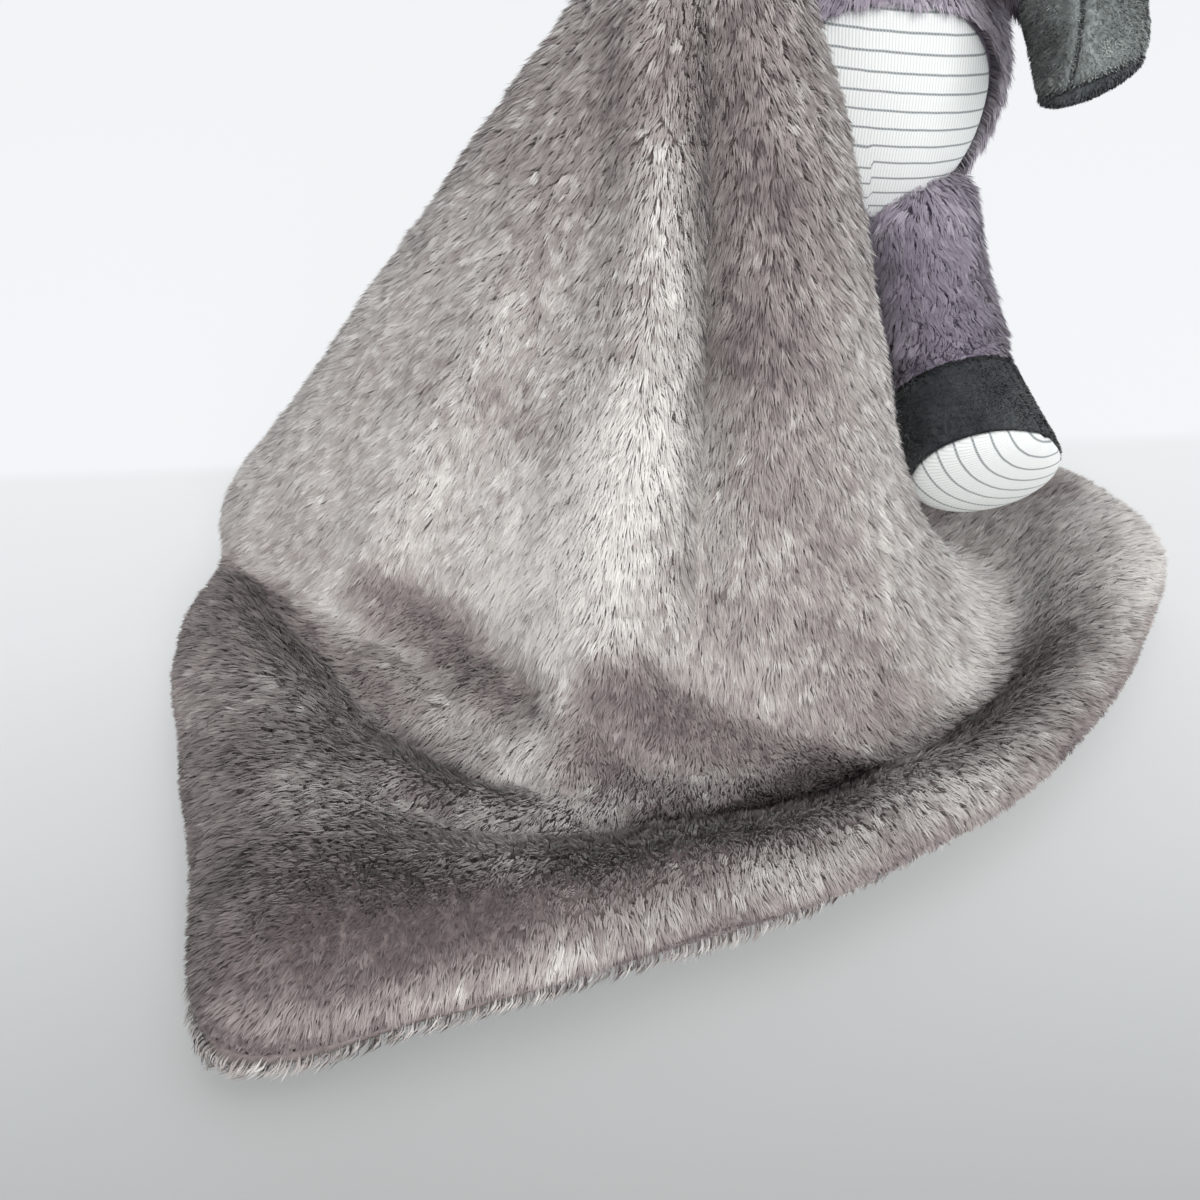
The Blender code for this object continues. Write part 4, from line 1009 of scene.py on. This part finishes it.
def body():
    whole, numbers = shell("body_shell", body_surface, BELLY_POLE, BELLY_ANGLE, belly_edge, 0.55, 0.0012)
    ranges = (("belly_knit", 0, SHELL_SEAM, KNIT), ("body_plush", SHELL_SEAM, SHELL_RINGS, FUR_BACK))
    (belly, _), (back, rings) = split(whole, numbers, ranges)
    places = places_of(belly.data) - np.array(BODY_CENTRE)
    along = places[:, 2] + 0.10 * places[:, 0] + places[:, 0] ** 2 * 1.5 + STRIPE_STEP * 20.1
    dart = DART_PLACE - 0.10 * (places[:, 2] + 0.02)
    low = np.clip((DART_TOP - places[:, 2]) / 0.008, 0, 1)
    along = along + np.where(places[:, 0] < dart, STRIPE_STEP * DART_SHIFT, 0) * low
    set_knit(belly, places[:, 0], along)
    cover(belly, THIN_CLOTH, "body", "striped_knit", "belly_panel")
    cover(back, FUR_CLOTH, "body", "lavender_fur", "body_back_cover", "body_stuffing")
    places = places_of(back.data)
    centre = np.array(body_surface(BELLY_POLE, 0))
    comb = unit(places - centre) * -0.6 * fuzzy(places, centre, 0.036)[:, None] + np.array([0, 0, -1.0]) * 0.9
    # The fur fans out over the belly's seam, where its tips are painted paler: a painted highlight, strongest
    # on the toy's left.
    left = np.clip((places[:, 0] - BODY_CENTRE.x) / 0.02, 0, 1)
    fringe_highlight = np.exp(-(((rings - SHELL_SEAM) / 4) ** 2)) * (0.12 + 0.30 * left)
    tone = 0.5 + 0.12 * wavy(places, 0.03, 3) + fringe_highlight
    fur = ("body_fur", back, "body", "lavender_fur", FUR_PILE, "body")
    grow(*fur, comb, tone, 51, gather=0.5, tuft=0.0024)


def head():
    whole, numbers = shell("head_shell", head_surface, MUZZLE_POLE, MUZZLE_ANGLE, round_edge, 0.5, 0.0010)
    front = ("muzzle_velour", 0, SHELL_SEAM, MUZZLE_VELOUR)
    ranges = (front, ("head_plush", SHELL_SEAM, SHELL_RINGS, FUR_BACK))
    (muzzle, rings), (skull, _) = split(whole, numbers, ranges)
    set_groove_shade(muzzle, np.exp(-(((rings - SHELL_SEAM) / 1.1) ** 2)))
    cover(muzzle, THIN_CLOTH, "head", "pale_velour", "muzzle_cover")
    cover(skull, FUR_CLOTH, "head", "lavender_fur", "head_cover", "head_stuffing")
    nose = np.array(head_surface(MUZZLE_POLE, 0))
    places = places_of(muzzle.data)
    tone = 0.5 + 0.15 * wavy(places, 0.02, 6)
    nap = ("muzzle_nap", muzzle, "head", "pale_velour", MUZZLE_NAP, "muzzle")
    grow(*nap, places - nose, tone, 61, gather=0.3, stray=25, tuft=0.002)
    places = places_of(skull.data)
    eyes = [np.array(head_surface(way.normalized(), 0)) for way in EYE_WAYS]
    behind = np.clip((places[:, 1] - BODY_CENTRE.y + 0.028) / 0.032, 0, 1)[:, None]
    comb = unit(places - nose) * (1 - 0.8 * behind) + np.array([0, 0.2, -0.5])
    comb -= behind * np.array([0, 0, 0.8])
    fur = ("head_fur", skull, "head", "lavender_fur", FUR_PILE, "head")
    grow(
        *fur,
        comb,
        0.5 + 0.12 * wavy(places, 0.03, 4),
        62,
        length_share=1 - 0.62 * sum(fuzzy(places, eye, 0.0120) for eye in eyes),
        share=np.clip(1 - sum(fuzzy(places, eye, 0.0062) for eye in eyes), 0, 1),
        gather=0.5,
        tuft=0.0024,
    )
    features()
    mane_strip()


def spot(name, way, angle, swell, node):
    """A padded oval of satin stitches on the head: its half angle in degrees and how far it swells."""
    direction = way.normalized()
    side, up = pole_axes(direction)
    work = ball(28, 14)
    for vert in work.verts:
        x, y, z = vert.co
        tilt = math.radians(angle)
        place = (direction + side * x * math.tan(tilt) + up * y * math.tan(tilt) * 1.25).normalized()
        vert.co = head_surface(place, swell * (z - 0.25))
    face_out(work)
    thing = keep_mesh(name, work, THREAD)
    dress(thing, "head", "thread", node)


def features():
    for side, eye_way, nostril_way in zip(("left", "right"), EYE_WAYS, NOSTRIL_WAYS):
        spot(f"eye_{side}", eye_way, *EYE_SIZE, f"eye_stitching_{side}")
        spot(f"nostril_{side}", nostril_way, *NOSTRIL_SIZE, f"nostril_stitching_{side}")


def mane_strip():
    """A sewn-in ridge of longer plush from the forehead to the nape."""
    work = bmesh.new()
    bmesh.ops.create_grid(work, x_segments=6, y_segments=40, size=1)
    for vert in work.verts:
        pitch = math.radians(MANE_START - MANE_SWEEP * (vert.co.y + 1) / 2)
        roll = math.radians(MANE_HALF * vert.co.x)
        across, along = math.sin(roll), math.cos(roll)
        direction = Vector((across, -math.sin(pitch) * along, math.cos(pitch) * along))
        vert.co = head_surface(direction, 0.0012 * (1 - vert.co.x**2))
    face_out(work)
    strip = keep_mesh("mane_strip", work, FUR_BACK)
    places = places_of(strip.data)
    outward = normals_of(strip.data)
    middle = np.array(head_surface(Vector((0, 0, 1)), -0.03))
    if (outward * (places - middle)).sum() < 0:
        strip.data.flip_normals()
    thicken(strip, THIN_CLOTH)
    dress(strip, "head", "lavender_fur", "mane")
    comb = toward(places, (0.25, 0.6, 0.2))
    hair = ("mane_hair", strip, "head", "lavender_fur", MANE_PILE, "mane")
    grow(*hair, comb, 0.5, 63, lean=(4, 38), gather=0.75, tuft=0.0035, stray=16)


class Limb:
    """A stuffed limb along a curve."""

    def __init__(self, points, root_radius, tip_radius, waist_share, bulge):
        self.points = points
        self.radii = (root_radius, (root_radius + tip_radius) / 2 * waist_share, tip_radius)
        self.bulge = bulge

    def place(self, t):
        a, b, c = self.points
        return a * (1 - t) ** 2 + b * 2 * t * (1 - t) + c * t**2

    def way(self, t):
        a, b, c = self.points
        return ((b - a) * (1 - t) + (c - b) * t).normalized()

    def frame(self, t):
        way = self.way(t)
        side = way.cross(Vector((0, 0.35, 1))).normalized()
        return way, side, way.cross(side)

    def ring(self, number, inset, seam):
        """Centre, side, up, radius and way of a ring: over the root, down the limb and over its cap."""
        t, ahead, scale = 0, 0, 1
        if number <= LIMB_ROOT:
            angle = math.pi / 2 * (1 - number / LIMB_ROOT)
            ahead, scale = -(self.radii[0] - inset) * math.sin(angle), math.cos(angle)
        elif number <= LIMB_SEAM:
            t = (number - LIMB_ROOT) / (LIMB_SEAM - LIMB_ROOT) * seam
        elif number <= LIMB_CAP:
            t = seam + (number - LIMB_SEAM) / (LIMB_CAP - LIMB_SEAM) * (1 - seam)
        else:
            t, angle = 1, math.pi / 2 * (number - LIMB_CAP) / (LIMB_RINGS - LIMB_CAP)
            ahead, scale = self.bulge * math.sin(angle), math.cos(angle)
        way, side, up = self.frame(t)
        radius = (float(eased((0, 0.5, 1), self.radii, (t,))[0]) - inset) * scale
        return self.place(t) + way * ahead, side, up, radius, way


def limb_points(shares):
    return [BODY_CENTRE + Vector(place) * BODY_HALF_HEIGHT for place in shares]


def limb_inset(number):
    """How far a ring lies inside the solid's outline: drawn in at both seams."""
    if abs(number - LIMB_SEAM) <= 1:
        return SEAM_INSET
    if abs(number - LIMB_CAP) <= 1:
        return CAP_INSET if number == LIMB_CAP else BESIDE_CAP_INSET
    return FUR_INSET if number < LIMB_SEAM else NAP_INSET


def limb_shell(name, kind, limb, seam, seam_way):
    """A limb's whole skin, with each point's ring, nearness to a seam and way along the limb."""
    frames = [limb.ring(number, limb_inset(number), seam) for number in range(LIMB_RINGS + 1)]
    way, across, up = limb.frame(0.85)
    seam_turn = math.atan2(seam_way.dot(up), seam_way.dot(across))
    depth, reach = GROOVE
    rise, swell_place, swell_reach = SWELL
    tilt, slant, slack = HAND_SLANT if kind == "arm" else SOLE_SLANT
    tilt = Vector(tilt)
    tilt = (tilt - way * tilt.dot(way)).normalized()
    work = ball(120, LIMB_RINGS)
    numbers, nearness, ways = [], [], []
    for vert in work.verts:
        number = ring_of(-vert.co.z, LIMB_RINGS)
        turn = math.atan2(vert.co.y, vert.co.x)
        turn = turn - DRAWN_TO_SEAM * math.sin(turn - seam_turn)
        centre, ring_side, ring_up, radius, ring_way = frames[number]
        apart = abs(math.atan2(math.sin(turn - seam_turn), math.cos(turn - seam_turn))) * max(radius, 0.001)
        groove = math.exp(-((apart / reach) ** 2)) if number <= LIMB_CAP else 0
        swell = rise * math.exp(-(((apart - swell_place) / swell_reach) ** 2))
        radius = radius - depth * groove + swell
        offset = (ring_side * math.cos(turn) + ring_up * math.sin(turn)) * radius
        late = min(1, max(0, (number - LIMB_SEAM - 2) / (LIMB_CAP - LIMB_SEAM - 2))) ** 2
        offset *= 1 - (HAND_TAPER if kind == "arm" else 0.0) * late
        offset += ring_way * (offset.dot(tilt) * math.tan(slant) - slack) * late
        vert.co = centre + offset
        numbers.append(number)
        sewn = [math.exp(-(((number - ring) / 0.7) ** 2)) for ring in (LIMB_CAP, LIMB_SEAM)]
        nearness.append(max(groove, *sewn))
        ways.append(tuple(ring_way))
    face_out(work)
    return keep_mesh(name, work, FUR_BACK), np.array(numbers), np.array(nearness), np.array(ways)


def limb_pieces(kind, side, limb, seam, body, looks, seam_way):
    """A limb's sleeve, hoof and end with their fur and nap."""
    velour, nap, cap_look, cap_name = looks
    whole, numbers, nearness, ways = limb_shell(f"{kind}_shell_{side}", kind, limb, seam, seam_way)
    ranges = (
        (f"{kind}_plush_{side}", 0, LIMB_SEAM, FUR_BACK),
        (f"{kind}_velour_{side}", LIMB_SEAM, LIMB_CAP, velour),
        (f"{kind}_{cap_name}_{side}", LIMB_CAP, LIMB_RINGS, cap_look),
    )
    on_sleeve, on_hoof, on_cap = ((numbers >= first) & (numbers <= last) for _, first, last, _ in ranges)
    (sleeve, _), (hoof, _), (cap, _) = split(whole, numbers, ranges)
    cover(sleeve, FUR_CLOTH, body, "lavender_fur", f"{kind}_sleeve_{side}", f"{kind}_stuffing_{side}")
    set_groove_shade(hoof, nearness[on_hoof])
    cover(hoof, THIN_CLOTH, body, "charcoal_velour", f"{kind}_hoof_{side}")
    seed = {"arm": 70, "leg": 80}[kind] + (side == "right")
    tone = 0.5 + 0.14 * wavy(places_of(sleeve.data), 0.030, seed)
    shorter = np.clip((LIMB_SEAM + 0.5 - numbers[on_sleeve]) / 7, 0.40, 1)
    fur = (f"{kind}_fur_{side}", sleeve, body, "lavender_fur", FUR_PILE, kind)
    grow(*fur, ways[on_sleeve], tone, seed, length_share=shorter, gather=0.58, swirl=26, tuft=0.0019)
    tone = 0.45 + 0.34 * wavy(places_of(hoof.data), 0.014, seed)
    share = 1 - 0.75 * nearness[on_hoof]
    short = (f"{kind}_nap_{side}", hoof, body, "charcoal_velour", nap, f"{kind}_nap")
    grow(*short, ways[on_hoof], tone, seed + 2, share=share, gather=0.2, stray=30, tuft=0.002, lean=(20, 50))
    if kind == "leg":
        cover(cap, SOLE_CLOTH, body, "striped_knit", f"leg_sole_{side}")
        sole_knit(cap, limb)
    else:
        cover(cap, SOLE_CLOTH, body, "charcoal_velour", f"arm_hoof_cap_{side}")
        set_groove_shade(cap, nearness[on_cap] * 0.8)
        short = (f"arm_cap_nap_{side}", cap, body, "charcoal_velour", VELOUR_NAP, "cap_nap")
        grow(*short, ways[on_cap], 0.5, seed + 4, gather=0.2, stray=40, tuft=0.002, lean=(10, 40))


def sole_knit(cap, limb):
    """The knit is stretched over the sole, so its stripes run in arcs round the seam's high side."""
    way, side, up = limb.frame(1)
    corner = Vector(SOLE_CORNER)
    corner = (corner - way * corner.dot(way)).normalized()
    apart = places_of(cap.data) - np.array(limb.place(1) + corner * limb.radii[2] * 1.4)
    turn = np.arctan2(apart @ np.array(up), apart @ np.array(side))
    reach = np.linalg.norm(apart, axis=1)
    set_knit(cap, np.unwrap(turn) * SOLE_TURN, reach + STRIPE_STEP * 0.2)


def ears():
    for side, sign in (("left", 1), ("right", -1)):
        ear(side, sign)


def ear(side, sign):
    """A cupped leaf: furred outside, knit inside, rolled at its root."""
    way = Vector((0.50 * sign, 0.05, 0.86)).normalized()
    root = head_surface(way, -0.0030)
    rise = Vector((0.34 * sign, 0.06, 0.94)).normalized()
    width = Vector((1, 0, -0.36 * sign)).normalized()
    width = (width - rise * width.dot(rise)).normalized()
    face = width.cross(rise).normalized()
    if face.y > 0:
        face = -face
    for layer, look, lift in (("plush", FUR_BACK, -0.0012), ("lining", KNIT, 0.0006)):
        work = bmesh.new()
        bmesh.ops.create_grid(work, x_segments=18, y_segments=40, size=1)
        for vert in work.verts:
            q, t = vert.co.x, (vert.co.y + 1) / 2
            leaf = math.sin(math.pi * min(1, t * 1.15)) ** 0.7 if t > 0 else 0
            half = EAR_HALF_WIDTH * (0.36 + 0.64 * leaf) * (1 - 0.55 * t**3)
            if layer == "lining":
                half *= 0.90
                t = 0.04 + 0.93 * t
            tip = 1 - max(0, (t - 0.86) / 0.14) ** 2 * (1 - 0.45)
            half *= tip
            cup = 0.30 * half * q**2 * max(0, min(1, t * 2))
            roll = 0.0022 * max(0, 1 - t * 6) * q**2
            bend = 0.15 * EAR_LENGTH * t * abs(t)
            vert.co = root + rise * EAR_LENGTH * t + width * half * q + face * (cup + roll - bend + lift)
        face_out(work)
        leafed = keep_mesh(f"ear_{layer}_cloth_{side}", work, look)
        outward = normals_of(leafed.data).sum(axis=0) @ np.array(face)
        if (outward > 0) != (layer == "lining"):
            leafed.data.flip_normals()
        thicken(leafed, THIN_CLOTH)
        places = places_of(leafed.data) - np.array(root)
        if layer == "lining":
            set_knit(leafed, places @ np.array(rise), places @ np.array(width) + STRIPE_STEP * 10.5)
            dress(leafed, f"ear_{side}", "striped_knit", f"ear_lining_{side}")
        else:
            dress(leafed, f"ear_{side}", "lavender_fur", f"ear_back_{side}")
            fur = (f"ear_fur_{side}", leafed, f"ear_{side}", "lavender_fur", FUR_PILE, "ear")
            grow(*fur, toward(places, rise), 0.5, 90 + sign, gather=0.6)


def tail():
    root = body_surface(TAIL_WAY, 0)
    bend = root + Vector((0.04, 0.28, -0.20)) * TAIL_LENGTH
    tip = root + Vector((-0.08, 0.24, -0.96)) * TAIL_LENGTH
    limb = Limb((root, bend, tip), 0.0060, 0.0042, 0.85, 0.0042)
    frames = [limb.ring(number, 0.0012, 0.5) for number in range(LIMB_RINGS + 1)]
    work = ball(24, LIMB_RINGS)
    ways = []
    for vert in work.verts:
        turn = math.atan2(vert.co.y, vert.co.x)
        centre, side, up, radius, way = frames[ring_of(-vert.co.z, LIMB_RINGS)]
        vert.co = centre + (side * math.cos(turn) + up * math.sin(turn)) * radius
        ways.append(tuple(way))
    face_out(work)
    sleeve = dress(keep_mesh("tail_plush", work, FUR_BACK), "tail", "lavender_fur", "tail_sleeve")
    grow("tail_fur", sleeve, "tail", "lavender_fur", FUR_PILE, "tail", np.array(ways), 0.48, 95, gather=0.6)
    start = limb.place(1)
    way = limb.way(1)
    side = way.cross(Vector((0, 1, 0))).normalized()
    up = side.cross(way).normalized()
    work = ball(20, 24)
    for vert in work.verts:
        along = (1 - vert.co.z) / 2
        wide = 0.0040 * math.sin(math.pi * min(1, along * 0.9 + 0.08)) ** 0.6
        spread = Vector((vert.co.x, vert.co.y, 0))
        spread = spread.normalized() if spread.length > 0.001 else Vector()
        vert.co = start + way * along * TUFT_LENGTH * 0.55 + (side * spread.x + up * spread.y) * wide
    face_out(work)
    core = dress(keep_mesh("tail_tuft_core", work, FUR_BACK), "tail", "lavender_fur", "tail_tuft")
    places = places_of(core.data)
    hair = ("tail_tuft_hair", core, "tail", "lavender_fur", MANE_PILE, "tuft")
    grow(*hair, toward(places, way), 0.5, 96, lean=(30, 74), gather=0.7, tuft=0.003, stray=12)


def tack():
    """Strong thread wound through the hoof and the gathered top."""
    work = ball(72, 24)
    for vert in work.verts:
        turn = math.atan2(vert.co.y, vert.co.x)
        flute = 1 + 0.10 * abs(math.sin(6 * turn + vert.co.z * 2))
        spread = Vector((vert.co.x, vert.co.y)).length ** 0.4 if abs(vert.co.z) < 0.9999 else 0
        radius = TACK_RADIUS * flute * spread
        height = TACK_TOP - TACK_LENGTH * (1 - vert.co.z) / 2
        vert.co = Vector((math.cos(turn) * radius, APEX_BACK + math.sin(turn) * radius, height))
    face_out(work)
    dress(keep_mesh("tack_thread", work, THREAD), "body", "thread", "paw_tack")


def toy():
    body()
    head()
    ears()
    tail()
    tack()
    arm_looks = (HAND_VELOUR_PAINTED_LIGHT, HAND_NAP_PAINTED_LIGHT, VELOUR, "end")
    leg_looks = (VELOUR, VELOUR_NAP, KNIT, "knit")
    held = [*limb_points(RIGHT_ARM_SHARES), HOLDING_HOOF]
    for side, points, joint, way in (
        ("left", limb_points(LEFT_ARM_SHARES), "arm_left", ARM_THREAD_WAY),
        ("right", held, "body", HELD_THREAD_WAY),
    ):
        limb_pieces("arm", side, Limb(points, *ARM_SIZES), ARM_SEAM_SHARE, joint, arm_looks, way)
    for side, shares in (("left", LEFT_LEG_SHARES), ("right", RIGHT_LEG_SHARES)):
        leg = Limb(limb_points(shares), *LEG_SIZES)
        limb_pieces("leg", side, leg, LEG_SEAM_SHARE, f"leg_{side}", leg_looks, LEG_THREAD_WAY)


# Floor, lamps and camera

CAMERA_PLACE = (-0.036, -0.235, 0.276)
CAMERA_PITCH = math.radians(38)
CAMERA_ROLL = math.radians(2)
CAMERA_LENS = 37.5
LAMPS_AIM = Vector((0, 0.1, 0.08))


def paper_floor():
    """Matt white paper on a table, painted greyer close to the camera: painted shade where less light reaches
    it.
    """
    paper, tree, shader = new_material("matt_paper", {"Roughness": 0.9, "Specular IOR Level": 0.1})
    # The far part is a shade lighter, past a soft line behind the toy. Only the camera sees that glow.
    places = add_node(tree, "ShaderNodeTexCoord", output="Object")
    back = add_node(tree, "ShaderNodeSeparateXYZ", {0: places}, output=1)
    far = add_node(tree, "ShaderNodeMapRange", {0: back, 1: 0.216, 2: 0.222, 3: 0.0, 4: 1.0})
    near = add_node(tree, "ShaderNodeMapRange", {0: back, 1: -0.14, 2: 0.22, 3: 0.0, 4: 1.0})
    lit = ((0.0, "ABADAC"), (0.39, "D6D8D8"), (0.67, "EAECED"), (0.975, "F2F4F5"), (1.0, "F4F6F8"))
    tree.links.new(add_node(tree, "ShaderNodeValToRGB", {0: near}, stops=lit), shader.inputs["Base Color"])
    glows = ((0.0, "BCBEBD"), (0.39, "D8DADA"), (0.67, "E4E6E7"), (0.975, "ECEEEF"), (1.0, "F5F7F9"))
    glowing = add_node(tree, "ShaderNodeValToRGB", {0: near}, stops=glows)
    apart = add_node(tree, "ShaderNodeVectorMath", {0: places}, output="Value", operation="LENGTH")
    reach = {0: apart, 1: 0.45, 2: 1.8, 3: 0.0, 4: 1.0}
    away = add_node(tree, "ShaderNodeMapRange", reach, interpolation_type="SMOOTHSTEP")
    near_share = add_node(tree, MATH, {0: near, 1: 0.55}, operation="MULTIPLY")
    far_share = add_node(tree, MATH, {0: far, 1: 0.30}, operation="MULTIPLY")
    share = add_node(tree, MATH, {0: near_share, 1: far_share}, operation="ADD")
    share = add_node(tree, MATH, {0: share, 1: away}, operation="MAXIMUM")
    seen = add_node(tree, "ShaderNodeLightPath", output="Is Camera Ray")
    share = add_node(tree, MATH, {0: share, 1: seen}, operation="MULTIPLY")
    fading = {0: away, 6: glowing, 7: linear(WALL_WHITE)}
    backdrop = add_node(tree, "ShaderNodeMix", fading, output=2, data_type="RGBA")
    glow = add_node(tree, "ShaderNodeEmission", {0: backdrop, 1: 1.0})
    mixed = add_node(tree, "ShaderNodeMixShader", {0: share, 1: shader.outputs[0], 2: glow})
    tree.links.new(mixed, tree.nodes["Material Output"].inputs["Surface"])
    work = bmesh.new()
    bmesh.ops.create_grid(work, x_segments=1, y_segments=1, size=20)
    floor = keep_mesh("floor", work, paper)


def white_wall():
    """Light comes back from a white wall behind the toy. The camera sees an even pale backdrop."""
    world = bpy.data.worlds.new("studio")
    world.use_nodes = True
    tree = world.node_tree
    paint = tree.nodes["Background"]
    paint.inputs[0].default_value = linear(WALL_WHITE)
    way = add_node(tree, "ShaderNodeTexCoord", output="Generated")
    toward_wall = {0: way, 1: (0.55, 0.83, 0.0)}
    facing = add_node(tree, "ShaderNodeVectorMath", toward_wall, output="Value", operation="DOT_PRODUCT")
    bounce = add_node(tree, "ShaderNodeMapRange", {0: facing, 1: 0.1, 2: 0.95, 3: 0.40, 4: 1.24})
    rays = add_node(tree, "ShaderNodeLightPath", output="Is Camera Ray")
    strength = add_node(tree, "ShaderNodeMix", {0: rays, 2: bounce, 3: 1.0})
    tree.links.new(strength, paint.inputs[1])
    bpy.context.scene.world = world


def lamps():
    """A big soft window in front and a weak lamp over the toy: name, place, side in metres and watts."""
    for name, place, size, power in (
        ("window", Vector((0.44, -3.00, 1.65)), 2.2, 124.0),
        ("ceiling", Vector((0.4, 0.6, 3.0)), 2.4, 10.0),
    ):
        data = bpy.data.lights.new(name, "AREA")
        data.size = size
        data.energy = power
        lamp = bpy.data.objects.new(name, data)
        lamp.location = place
        lamp.visible_camera = False
        lamp.rotation_euler = (LAMPS_AIM - place).to_track_quat("-Z", "Y").to_euler()
        bpy.context.scene.collection.objects.link(lamp)


def camera():
    pitch, roll = CAMERA_PITCH, CAMERA_ROLL
    forward = Vector((0, math.cos(pitch), -math.sin(pitch)))
    above = Vector((0, math.sin(pitch), math.cos(pitch)))
    right = Vector((1, 0, 0)) * math.cos(roll) - above * math.sin(roll)
    above = above * math.cos(roll) + Vector((1, 0, 0)) * math.sin(roll)
    data = bpy.data.cameras.new("view")
    data.lens, data.sensor_width = CAMERA_LENS, 36
    data.clip_start = 0.01
    made = bpy.data.objects.new("view", data)
    turned_to = Matrix((right, above, -forward)).transposed().to_4x4()
    made.matrix_world = Matrix.Translation(CAMERA_PLACE) @ turned_to
    bpy.context.scene.collection.objects.link(made)
    bpy.context.scene.camera = made


pile_blanket()
toy()
paper_floor()
white_wall()
lamps()
camera()
bpy.context.scene.view_settings.view_transform = "Standard"
bpy.context.view_layer.update()
